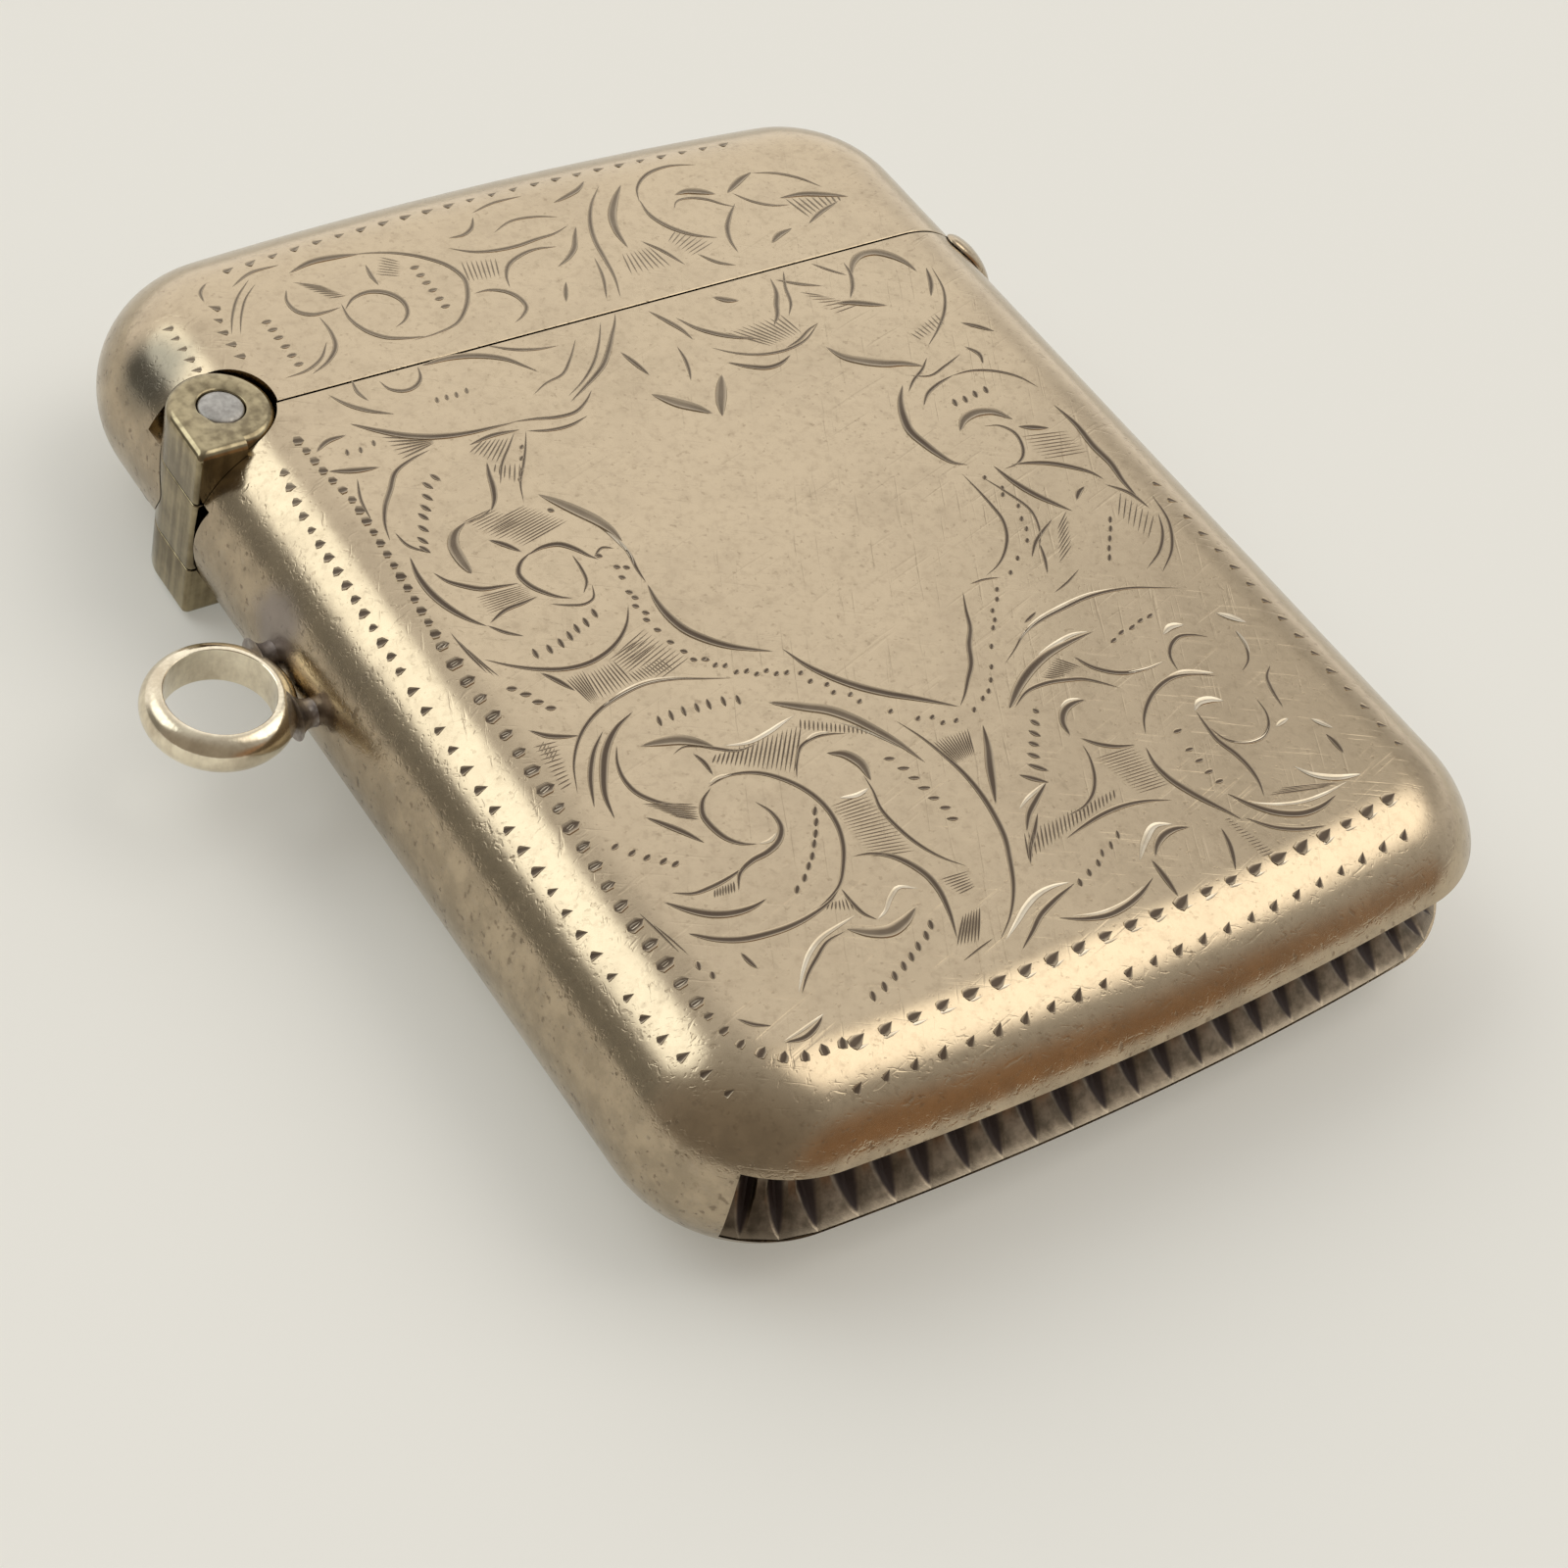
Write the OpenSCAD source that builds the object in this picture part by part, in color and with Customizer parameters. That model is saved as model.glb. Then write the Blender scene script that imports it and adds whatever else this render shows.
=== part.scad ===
// A silver vesta case: a flat, round-edged box for wax matches, with a sprung
// lid on a side hinge, a ring for a watch chain and a serrated striker.
// X runs across the case (hinge at -X), Y along it (lid at +Y, striker at -Y),
// Z through its thickness. The origin is the middle of the flat back face.

/* [Case] */
// Length of the closed case, from the striker end to the lid end
case_l = 46; // [42:0.5:56]
// Width of the case, from the hinge side to the thumb side
case_w = 35.4; // [31:0.2:42]
// Thickness of the case, from back face to front face
case_t = 8; // [7.4:0.1:9.6]
// Thickness of the pressed silver walls
wall = 0.55; // [0.4:0.05:0.7]
// Radius of the four corners in plan, to within the rounding of their centres
corner_r = 5.4; // [5:0.1:7]
// Length of the lid at the middle of its end
lid_l = 10.6; // [9.6:0.1:13]
// Gap at the seam between lid and body
seam_gap = 0.08; // [0.05:0.01:0.2]
// Thickness of a solder joint between two pieces
film = 0.02; // [0.01:0.005:0.04]

/* [Mouth bezel] */
// Thickness of the bezel where it stands inside the lid
bezel_t = 0.35; // [0.25:0.05:0.5]
// How far the bezel stands above the seam
bezel_rise = 1.8; // [1:0.1:2.4]
// How far the bezel reaches down into the body
bezel_depth = 3; // [2:0.1:5]
// Clearance between the bezel and the lid's inner wall
bezel_gap = 0.2; // [0.15:0.01:0.3]

/* [Hinge] */
// Radius of the hinge barrel
knuckle_r = 1.9; // [1.6:0.05:2.2]
// Distance from the hinge axis to the flat heel of a knuckle
knuckle_heel = 2.1; // [1.9:0.05:2.4]
// Length of the middle knuckle, which belongs to the lid
knuckle_mid = 3.1; // [2.4:0.1:3.6]
// Gap between neighbouring knuckles
knuckle_gap = 0.06; // [0.04:0.01:0.12]
// How far the barrel's ends lie inside the case's faces
barrel_inset = 0.1; // [0.05:0.05:0.4]
// Height of the hinge axis above the seam
hinge_rise = 0.6; // [0.4:0.05:0.9]
// Radius of the hinge pin
pin_r = 0.83; // [0.6:0.01:1]
// Radial clearance of the pin in the lid's knuckle
pin_gap = 0.04; // [0.02:0.01:0.08]
// Clearance round the heels when the lid swings
swing_gap = 0.15; // [0.12:0.01:0.3]
// Thickness of the bearers that carry the knuckles
bearer_t = 1; // [0.8:0.1:1.6]

/* [Lid spring] */
// Thickness of the leaf spring
spring_t = 0.35; // [0.25:0.05:0.45]
// Width of the leaf spring
spring_w = 5.6; // [4.8:0.1:6]
// Length of the spring's riveted foot
spring_foot = 6; // [5:0.5:8]
// Length of the bent stretch between foot and blade
spring_bend = 6.3; // [5:0.1:8]
// Length of the blade below the hinge axis
spring_blade = 4.2; // [3.9:0.1:5]
// How far the blade's tip stands above the hinge axis
spring_tip = 0.25; // [0.1:0.05:0.5]
// Distance from the hinge axis to the cam flat of the lid's knuckle
cam_flat = 1.7; // [1.4:0.05:1.85]
// Clearance between the blade and the body's knuckles and bearers
blade_gap = 0.25; // [0.15:0.01:0.4]
// Thickness of the round cap left at a knuckle's outer end, inside the wall
cap_over = 0.3; // [0.2:0.05:0.5]
// Radius of the rivets' shanks
rivet_r = 0.45; // [0.35:0.05:0.6]
// Radius of the rivets' heads
rivet_head_r = 0.8; // [0.7:0.05:1]
// Height of the rivets' heads
rivet_head_t = 0.3; // [0.2:0.05:0.4]
// Depth of the rivet holes in the saddle
rivet_depth = 0.8; // [0.5:0.1:1]

/* [Striker] */
// Width of the striker slot between front and back lips
striker_w = 3.4; // [2.8:0.1:4]
// Depth of the striker slot's plug below the outline of the end
striker_t = 1.5; // [1.3:0.1:2]
// Width of the flange inside the case
flange_w = 4.4; // [3.8:0.1:4.8]
// Depth of the hollow across the striker's lands
hollow = 0.45; // [0.3:0.05:0.6]
// How far the striker's edges lie below the outline of the end
land_drop = 0.4; // [0.35:0.05:0.6]
// Turn of the striker round each corner, in degrees
striker_wrap = 38; // [20:1:50]
// Number of grooves across the striker
groove_count = 26; // [18:1:30]
// Width of a groove at the surface of the lands
groove_w = 0.62; // [0.4:0.02:0.8]
// Depth of a groove below the middle of the lands
groove_d = 0.35; // [0.2:0.05:0.4]

/* [Chain ring] */
// Radius of the hole in the chain ring
ring_hole_r = 1.9; // [1.8:0.05:2.6]
// Radius of the half-round wire of the chain ring
ring_wire = 0.76; // [0.6:0.02:1]
// Distance of the ring's centre above the middle of the case
ring_y = 3.5; // [0:0.1:4]
// Gap between the ring and the side wall
ring_gap = 0.06; // [0.04:0.01:0.15]
// Thickness of the solder lugs beside the ring
lug_t = 1.1; // [0.8:0.1:1.4]
// Reach of each lug along the side wall
lug_reach = 1.9; // [1.8:0.1:2.4]
// Start of each lug beside the ring's nearest point
lug_start = 0.8; // [0.7:0.1:1]

/* [Thumb piece] */
// How far the thumb piece stands out from the side
thumb_h = 0.6; // [0.4:0.05:1]
// Length of the thumb piece along the case
thumb_l = 2.4; // [1.8:0.1:3]
// Width of the thumb piece through the thickness
thumb_w = 3.6; // [3:0.1:4.4]
// How far the middle of the thumb piece lies below the seam
thumb_drop = 0.4; // [0:0.1:0.8]
// Radius of the thumb piece's round back, seen from the end
thumb_back_r = 3.2; // [2.8:0.1:4]

/* [Hidden] */
$fn = 72;
arc_fn = 1440;
half_w = case_w / 2;
half_l = case_l / 2;
edge_r = case_t / 2;
seam_y = half_l - lid_l;
beyond = case_l + case_w;

// The end's bowed arc, and the corner circles that touch it and the sides.
// The line from the arc's centre through a corner's centre rises 312 for every
// 25 across, on a slant of 313, and a corner's centre lies on a whole tenth of
// a millimetre, so that all the centres are short numbers.
bow_rise = 312 / 25;
bow_slant = 313 / 25;
corner_x = round(10 * (half_w - corner_r)) / 10;
turn_r = half_w - corner_x;
end_r = turn_r + bow_slant * corner_x;
end_y = half_l - end_r;
corner_y = end_y + bow_rise * corner_x;
end_a = atan(1 / bow_rise);

// Inner face of the walls, as the radius of the round edge there
inner_r = edge_r - wall;
seat_r = inner_r - film;

// Hinge axis and the levels of its knuckles
hinge_x = -half_w + knuckle_r;
hinge_y = seam_y + hinge_rise;
mid_z0 = (case_t - knuckle_mid) / 2;
mid_z1 = (case_t + knuckle_mid) / 2;
sweep_r = norm([knuckle_r, knuckle_heel]) + swing_gap;
relief = cam_flat - blade_gap;
cap_t = wall + cap_over;

// Spring: its blade lies on the cam flat and its foot on the saddle
blade_x = hinge_x + cam_flat + film;
foot_x = -half_w + edge_r - sqrt(seat_r * seat_r - spring_w * spring_w / 4) + 2 * film;
blade_y = hinge_y - spring_blade;
foot_y1 = blade_y - spring_bend;
foot_y0 = foot_y1 - spring_foot;
rivet_ys = [for (k = [0.25, 0.75]) foot_y0 + k * spring_foot];

// Striker: half lengths of the end's arc and of the whole striker
arc_half = end_r * end_a * PI / 180;
striker_half = arc_half + turn_r * striker_wrap * PI / 180;
groove_pitch = 2 * striker_half / groove_count;
land_r = (striker_w * striker_w / 4 + hollow * hollow) / (2 * hollow);

// Ring and thumb piece
ring_out_r = ring_hole_r + ring_wire;
ring_x = -half_w - ring_gap - ring_out_r;
thumb_r = (thumb_l * thumb_l / 4 + thumb_h * thumb_h) / (2 * thumb_h);
thumb_x = half_w + thumb_h;
thumb_y = seam_y - thumb_drop;

// Section of the case from an inner line out to its round edge
module edge_section(inner, reach, ball) {
    translate([inner, -ball])
        square([reach - inner, 2 * ball]);
    intersection() {
        translate([reach, 0])
            circle(ball);
        translate([reach, -ball])
            square([ball, 2 * ball]);
    }
}

// The sector in which an end follows its bowed arc
module arc_sector() {
    linear_extrude(2 * case_t, center = true)
        polygon([
            [0, end_y],
            [corner_x + turn_r, corner_y + bow_rise * turn_r],
            [-corner_x - turn_r, corner_y + bow_rise * turn_r]
        ]);
}

// The wedge in which an end follows a corner, beside the sector of its arc
module corner_sector() {
    linear_extrude(2 * case_t, center = true)
        polygon([
            [corner_x, corner_y],
            [corner_x + 3 * turn_r, corner_y],
            [corner_x + 3 * turn_r, corner_y + bow_rise * turn_r],
            [corner_x + turn_r, corner_y + bow_rise * turn_r]
        ]);
}

// One bowed end with its two corners
module pillow_end(ball) {
    intersection() {
        translate([0, end_y, 0])
            rotate([0, 0, 90 - 2 * end_a])
                rotate_extrude(angle = 4 * end_a, $fn = arc_fn)
                    edge_section(end_r - 3 * turn_r, end_r - edge_r, ball);
        arc_sector();
    }
    for (side = [0, 1])
        mirror([side, 0, 0])
            intersection() {
                translate([corner_x, corner_y, 0])
                    rotate_extrude()
                        edge_section(0, turn_r - edge_r, ball);
                corner_sector();
            }
}

// The case's form, as its flat middle swollen by a ball of the given radius
module pillow(ball) {
    translate([0, 0, edge_r]) {
        translate([0, corner_y, 0])
            rotate([90, 0, 0])
                linear_extrude(2 * corner_y)
                    for (side = [0, 1])
                        mirror([side, 0])
                            edge_section(0, half_w - edge_r, ball);
        for (side = [0, 1])
            mirror([0, side, 0])
                pillow_end(ball);
    }
}

// Everything between two levels of one axis
module slab_y(y0, y1) {
    translate([-beyond, y0, -beyond])
        cube([2 * beyond, y1 - y0, 2 * beyond]);
}

module slab_z(z0, z1) {
    translate([-beyond, -beyond, z0])
        cube([2 * beyond, 2 * beyond, z1 - z0]);
}

// The hollow case cut to one stretch of its length and one half of its thickness
module pressed_half(y0, y1, z0, z1) {
    intersection() {
        difference() {
            pillow(edge_r);
            pillow(inner_r);
        }
        slab_y(y0, y1);
        slab_z(z0, z1);
    }
}

// The round edge along one long side of the case, grown by a clearance
module side_edge(side, grow) {
    translate([side * (half_w - edge_r), -half_l, edge_r])
        rotate([-90, 0, 0])
            cylinder(r = edge_r + grow, h = case_l);
}

module at_hinge(z0, z1) {
    translate([hinge_x, hinge_y, z0])
        linear_extrude(z1 - z0)
            children();
}

// Plan of a knuckle: round, with a square heel on its outer lower side
module knuckle_plan(grow = 0) {
    circle(knuckle_r + grow);
    translate([-knuckle_r - grow, -knuckle_heel - grow])
        square([knuckle_r + grow, knuckle_heel + grow]);
}

// Room that the body leaves for its own knuckles and for the lid's swinging heel
module body_window() {
    at_hinge(-beyond, beyond)
        knuckle_plan(film);
    at_hinge(mid_z0 - knuckle_gap, mid_z1 + knuckle_gap)
        circle(sweep_r);
}

// Plan that the lid keeps clear of a body knuckle: its barrel all round, and its
// heel as it passes the lid's outer side in a quarter turn
module heel_room() {
    circle(knuckle_r + seam_gap);
    intersection() {
        circle(sweep_r);
        translate([-sweep_r, -sweep_r])
            square([sweep_r, sweep_r + knuckle_r + swing_gap]);
    }
}

// Room that the lid leaves for its own knuckle and for the body's knuckles
module lid_window() {
    at_hinge(-beyond, mid_z0)
        heel_room();
    at_hinge(mid_z1, beyond)
        heel_room();
    at_hinge(mid_z0 - knuckle_gap, mid_z1 + knuckle_gap)
        knuckle_plan(film);
}

// A section carried along the striker end and part of the way round its corners;
// x = 0 is the case's outline and y = 0 the middle of its thickness
module along_striker() {
    stop_a = 90 - end_a - striker_wrap;
    translate([0, 0, edge_r])
        mirror([0, 1, 0]) {
            intersection() {
                translate([0, end_y, 0])
                    rotate_extrude()
                        translate([end_r, 0])
                            children();
                arc_sector();
            }
            for (side = [0, 1])
                mirror([side, 0, 0])
                    intersection() {
                        translate([corner_x, corner_y, 0])
                            rotate_extrude()
                                translate([turn_r, 0])
                                    children();
                        corner_sector();
                        translate([corner_x, corner_y, -case_t])
                            rotate([0, 0, stop_a])
                                cube(2 * case_t);
                    }
        }
}

// A point of the striker's outline, s along it from the middle, with -Y outwards
module at_striker(s) {
    turn = abs(s) <= arc_half
        ? abs(s) / end_r * 180 / PI
        : end_a + (abs(s) - arc_half) / turn_r * 180 / PI;
    centre = abs(s) <= arc_half ? [0, -end_y] : [sign(s) * corner_x, -corner_y];
    reach = abs(s) <= arc_half ? end_r : turn_r;
    translate([centre[0], centre[1], edge_r])
        rotate([0, 0, sign(s) * turn])
            translate([0, -reach, 0])
                children();
}

module striker_slot() {
    along_striker()
        translate([-striker_t - 2 * wall, -striker_w / 2])
            square([striker_t + 4 * wall, striker_w]);
}

module body_half(z0, z1) {
    difference() {
        pressed_half(-beyond, seam_y, z0, z1);
        striker_slot();
        body_window();
    }
}

module body_front() {
    color("tan")
        body_half(edge_r, beyond);
}

module body_back() {
    color("burlywood")
        body_half(-beyond, edge_r);
}

// Strip inside the mouth that the lid closes over; it stops short of the hinge
module mouth_bezel() {
    bezel_x = hinge_x + sweep_r + swing_gap;
    bezel_y = seam_y - bezel_depth;
    color("goldenrod")
        intersection() {
            difference() {
                union() {
                    intersection() {
                        pillow(seat_r);
                        slab_y(bezel_y, seam_y);
                    }
                    intersection() {
                        pillow(inner_r - bezel_gap);
                        slab_y(bezel_y, seam_y + bezel_rise);
                    }
                }
                pillow(inner_r - bezel_gap - bezel_t);
            }
            translate([bezel_x, -beyond, -beyond])
                cube(2 * beyond);
        }
}

// Serrated strip that fills the slot, hollowed across, with a flange inside
module striker_strip() {
    color("dimgray")
        difference() {
            along_striker()
                difference() {
                    union() {
                        translate([-striker_t, -striker_w / 2 + film])
                            square([striker_t - land_drop, striker_w - 2 * film]);
                        intersection() {
                            translate([-edge_r, 0])
                                circle(seat_r);
                            translate([-striker_t - wall, -flange_w / 2])
                                square([2 * wall, flange_w]);
                        }
                    }
                    translate([land_r - land_drop - hollow, 0])
                        circle(land_r);
                }
            for (k = [0 : groove_count - 1])
                at_striker(-striker_half + (k + 0.5) * groove_pitch)
                    linear_extrude(striker_w + wall, center = true)
                        polygon([
                            [-groove_w / 2, 0],
                            [0, land_drop + hollow + groove_d],
                            [groove_w / 2, 0]
                        ]);
        }
}

// Outer knuckle, soldered to the body; inside the case it clears the spring
module body_knuckle(z0, z1, relief_z0, relief_z1) {
    difference() {
        at_hinge(z0, z1)
            difference() {
                knuckle_plan();
                circle(pin_r + film);
            }
        at_hinge(relief_z0, relief_z1)
            translate([relief, -knuckle_r])
                square(2 * knuckle_r);
    }
}

module body_knuckle_front() {
    color("khaki")
        body_knuckle(mid_z1 + knuckle_gap, case_t - barrel_inset, 0, case_t - cap_t);
}

module body_knuckle_back() {
    color("khaki")
        body_knuckle(barrel_inset, mid_z0 - knuckle_gap, cap_t, case_t);
}

// Two blocks inside the side wall that carry the body's knuckles
module body_bearers() {
    bearer_y = hinge_y - knuckle_heel - film;
    color("darkkhaki")
        for (level = [[barrel_inset, mid_z0 - knuckle_gap], [mid_z1 + knuckle_gap, case_t - barrel_inset]])
            intersection() {
                pillow(seat_r);
                slab_y(bearer_y - bearer_t, bearer_y);
                slab_z(level[0], level[1]);
                translate([hinge_x + relief - beyond, -beyond / 2, -beyond / 2])
                    cube(beyond);
            }
}

// Pin riveted flush in the body's two knuckles
module hinge_pin() {
    color("gray")
        translate([hinge_x, hinge_y, barrel_inset])
            cylinder(r = pin_r, h = case_t - 2 * barrel_inset);
}

// Leaf spring: a foot on the saddle, a bend, and a blade on the cam flat
module lid_spring() {
    tip_y = hinge_y + spring_tip;
    side = [[foot_x, foot_y0], [foot_x, foot_y1], [blade_x, blade_y], [blade_x, tip_y]];
    color("slategray")
        difference() {
            translate([0, 0, edge_r])
                linear_extrude(spring_w, center = true)
                    polygon(concat(side, [for (k = [3 : -1 : 0]) side[k] + [spring_t, 0]]));
            for (y = rivet_ys)
                translate([foot_x - spring_t, y, edge_r])
                    rotate([0, 90, 0])
                        cylinder(r = rivet_r + film, h = 3 * spring_t);
        }
}

// Block between the round side wall and the spring's flat foot
module spring_saddle() {
    color("peru")
        difference() {
            intersection() {
                pillow(seat_r);
                slab_y(foot_y0, foot_y1);
                translate([foot_x - film - beyond, -beyond / 2, -beyond / 2])
                    cube(beyond);
            }
            for (y = rivet_ys)
                translate([foot_x - rivet_depth - 2 * film, y, edge_r])
                    rotate([0, 90, 0])
                        cylinder(r = rivet_r + film, h = 2 * rivet_depth);
        }
}

// Two rivets that hold the spring's foot to the saddle
module spring_rivets() {
    head_x = foot_x + spring_t + film;
    color("lightgray")
        for (y = rivet_ys)
            translate([0, y, edge_r])
                rotate([0, 90, 0]) {
                    translate([0, 0, foot_x - rivet_depth])
                        cylinder(r = rivet_r, h = rivet_depth + spring_t + 2 * film);
                    translate([0, 0, head_x])
                        cylinder(r = rivet_head_r, h = rivet_head_t);
                }
}

// Fixed ring of half-round wire for a watch chain
module chain_ring() {
    color("wheat")
        translate([ring_x, ring_y, edge_r])
            rotate_extrude()
                intersection() {
                    translate([ring_hole_r, 0])
                        circle(ring_wire);
                    translate([ring_hole_r, -ring_wire])
                        square([ring_wire, 2 * ring_wire]);
                }
}

// Two solder lugs in the corners between the ring and the side wall
module ring_lugs() {
    color("rosybrown")
        difference() {
            for (side = [0, 1])
                translate([ring_x, ring_y, edge_r])
                    mirror([0, side, 0])
                        translate([0, lug_start, -lug_t / 2])
                            cube([ring_out_r + ring_gap + wall, lug_reach - lug_start, lug_t]);
            translate([ring_x, ring_y, 0])
                cylinder(r = ring_out_r + film, h = case_t);
            side_edge(-1, film);
        }
}

module lid_half(z0, z1) {
    difference() {
        pressed_half(seam_y + seam_gap, beyond, z0, z1);
        lid_window();
    }
}

module lid_front() {
    color("bisque")
        lid_half(edge_r, beyond);
}

module lid_back() {
    color("navajowhite")
        lid_half(-beyond, edge_r);
}

// Middle knuckle, soldered to the lid, with a cam flat for the spring
module lid_knuckle() {
    color("gold")
        at_hinge(mid_z0, mid_z1)
            difference() {
                knuckle_plan();
                circle(pin_r + pin_gap);
                translate([cam_flat, -knuckle_r])
                    square(2 * knuckle_r);
            }
}

// Block inside the lid that carries the lid's knuckle
module lid_bearer() {
    color("darkgoldenrod")
        difference() {
            intersection() {
                pillow(seat_r);
                slab_y(hinge_y + hinge_rise, hinge_y + sweep_r + bearer_t);
                translate([hinge_x + relief - beyond, -beyond / 2, -beyond / 2])
                    cube(beyond);
            }
            lid_window();
        }
}

// Nib on the lid's free side, overhanging the seam for the thumb
module thumb_piece() {
    color("moccasin")
        difference() {
            intersection() {
                translate([thumb_x - thumb_r, thumb_y, edge_r - thumb_w / 2])
                    cylinder(r = thumb_r, h = thumb_w);
                translate([thumb_x - thumb_back_r, thumb_y - thumb_r, edge_r])
                    rotate([-90, 0, 0])
                        cylinder(r = thumb_back_r, h = 2 * thumb_r);
            }
            side_edge(1, seam_gap);
        }
}

body_front();
body_back();
mouth_bezel();
striker_strip();
body_knuckle_front();
body_knuckle_back();
body_bearers();
hinge_pin();
lid_spring();
spring_saddle();
spring_rivets();
chain_ring();
ring_lugs();
lid_front();
lid_back();
lid_knuckle();
lid_bearer();
thumb_piece();
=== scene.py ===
# %% [markdown]
# A vesta case is a flat silver box for wax matches, carried on a watch chain.
# Its lid swings on a side hinge, and its far end is cut with grooves to strike on.
# The measured model comes first, because every piece below is fitted to it.

import bmesh
import bpy
import numpy as np
from mathutils import Matrix


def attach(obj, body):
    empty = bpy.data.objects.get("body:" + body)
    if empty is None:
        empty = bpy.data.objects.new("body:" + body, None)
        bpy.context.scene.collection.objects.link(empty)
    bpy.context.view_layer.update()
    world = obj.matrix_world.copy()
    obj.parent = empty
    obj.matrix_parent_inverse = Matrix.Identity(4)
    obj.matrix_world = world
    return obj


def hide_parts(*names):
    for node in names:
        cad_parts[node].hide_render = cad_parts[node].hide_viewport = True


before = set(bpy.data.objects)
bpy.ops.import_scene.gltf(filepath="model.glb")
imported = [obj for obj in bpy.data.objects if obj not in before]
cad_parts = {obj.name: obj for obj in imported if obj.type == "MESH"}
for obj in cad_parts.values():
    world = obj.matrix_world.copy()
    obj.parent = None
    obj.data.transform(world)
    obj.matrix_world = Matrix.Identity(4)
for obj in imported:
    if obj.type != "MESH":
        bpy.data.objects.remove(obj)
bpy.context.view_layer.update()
print("nodes:", ", ".join(sorted(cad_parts)))

# %% [markdown]
# The sizes are the maker's own, in millimetres: a round edge of 4 mm goes all the
# way round the case, so its faces are flat inside a "core" outline that lies 4 mm
# within the rim. The end is a shallow arc, and a small arc turns each corner.

# %% Sizes of the case
EDGE, WALL, MID_Z = 4.0, 0.55, 4.0
SIDE_X = 13.7  # the core outline's straight sides
CORNER_X, CORNER_Y, CORNER_CORE = 12.3, 17.108, 1.4  # middle and radius of a corner arc
ARC_Y, ARC_CORE = -136.396, 155.396  # middle and radius of the lid's end arc
ARC_TURN = np.arctan(25 / 312)  # how far that arc turns to each side
BODY_MOUTH, LID_MOUTH = 12.4, 12.48
print("round edge", EDGE, "mm, end arc", round(float(np.degrees(ARC_TURN)), 2), "degrees each way")

# %% [markdown]
# Blender takes a mesh as a list of points and a list of faces. A surface of two
# parameters is a grid of points, so one helper gives the faces of any grid, a second
# makes a grid into such lists, and a third joins several of them.

# %% Grids of points
def grid_faces(rows, cols, wrap_rows=False, wrap_cols=False):
    """Quads of a rows by cols grid: each joins a point to its next row and column."""
    i, j = np.meshgrid(np.arange(rows - (not wrap_rows)), np.arange(cols - (not wrap_cols)),
                       indexing="ij")
    i2, j2 = (i + 1) % rows, (j + 1) % cols
    corners = [i * cols + j, i2 * cols + j, i2 * cols + j2, i * cols + j2]
    return np.stack(corners, -1).reshape(-1, 4)


def sheet(points, wrap_rows=False, wrap_cols=False):
    """A grid of points, shape rows x cols x 3, as a flat point list and its quads."""
    rows, cols = points.shape[:2]
    return points.reshape(-1, 3), grid_faces(rows, cols, wrap_rows, wrap_cols)


def joined(*sheets):
    """Several point lists and quad lists as one, with the later indices moved up."""
    starts = np.cumsum([0] + [len(p) for p, _ in sheets[:-1]])
    quads = [f + start for (_, f), start in zip(sheets, starts)]
    return np.concatenate([p for p, _ in sheets]), np.concatenate(quads)


print("a grid of 3 by 4 points has", len(grid_faces(3, 4)), "quads")

# %% [markdown]
# A real piece is one closed skin, so points that meet are welded and all faces look
# outwards. A turn of more than 32 degrees reads as an edge, and less as a curve. Each
# piece stays at the origin and rides on a body of the model, so that it moves with the lid.

# %% From points to a piece
SMOOTH = 32  # degrees, the sharpest turn that shades as a curve


def made_mesh(name, points, faces, crease=SMOOTH, floor=None):
    """A welded, outward-facing mesh from millimetre points, smooth below the crease angle.
    Its points can carry a floor value, how deep in a cut each lies, for the finish."""
    mesh = bpy.data.meshes.new(name)
    mesh.from_pydata((np.asarray(points) / 1000).tolist(), [], [list(f) for f in faces])
    if floor is not None:
        values = np.asarray(floor, np.float32)
        mesh.attributes.new("floor", "FLOAT", "POINT").data.foreach_set("value", values)
    bm = bmesh.new()
    bm.from_mesh(mesh)
    bmesh.ops.remove_doubles(bm, verts=bm.verts, dist=2e-7)
    bmesh.ops.dissolve_degenerate(bm, edges=bm.edges, dist=1e-8)
    bmesh.ops.recalc_face_normals(bm, faces=bm.faces)
    if bm.calc_volume(signed=True) < 0:
        bmesh.ops.reverse_faces(bm, faces=bm.faces)
    bm.to_mesh(mesh)
    bm.free()
    return shaded(mesh, crease)


def shaded(mesh, crease=SMOOTH):
    """The mesh, shaded as a curve wherever its faces turn by less than the crease angle."""
    mesh.shade_smooth()
    mesh.set_sharp_from_angle(angle=np.radians(crease))
    return mesh


def made_piece(name, shape, body, stands_for=(), crease=SMOOTH, floor=None):
    """An object at the origin from millimetre points, riding on a body of the model."""
    obj = bpy.data.objects.new(name, made_mesh(name, *shape, crease, floor))
    bpy.context.scene.collection.objects.link(obj)
    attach(obj, body)
    if stands_for:
        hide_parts(*stands_for)
    print(name, len(obj.data.polygons), "faces")
    return obj


print("turns of less than", SMOOTH, "degrees shade as curves")

# %% [markdown]
# The outline of the case could be drawn as a curve and bevelled, but then its points
# would fall anywhere. Here each stretch has its own points: a straight side, a corner,
# the shallow arc of the end, and the same back again, each with its outward direction.

# %% The core outline
def on_circle(turn):
    """Plan points of the unit circle at the given turns."""
    return np.stack([np.cos(turn), np.sin(turn)], -1)


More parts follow.
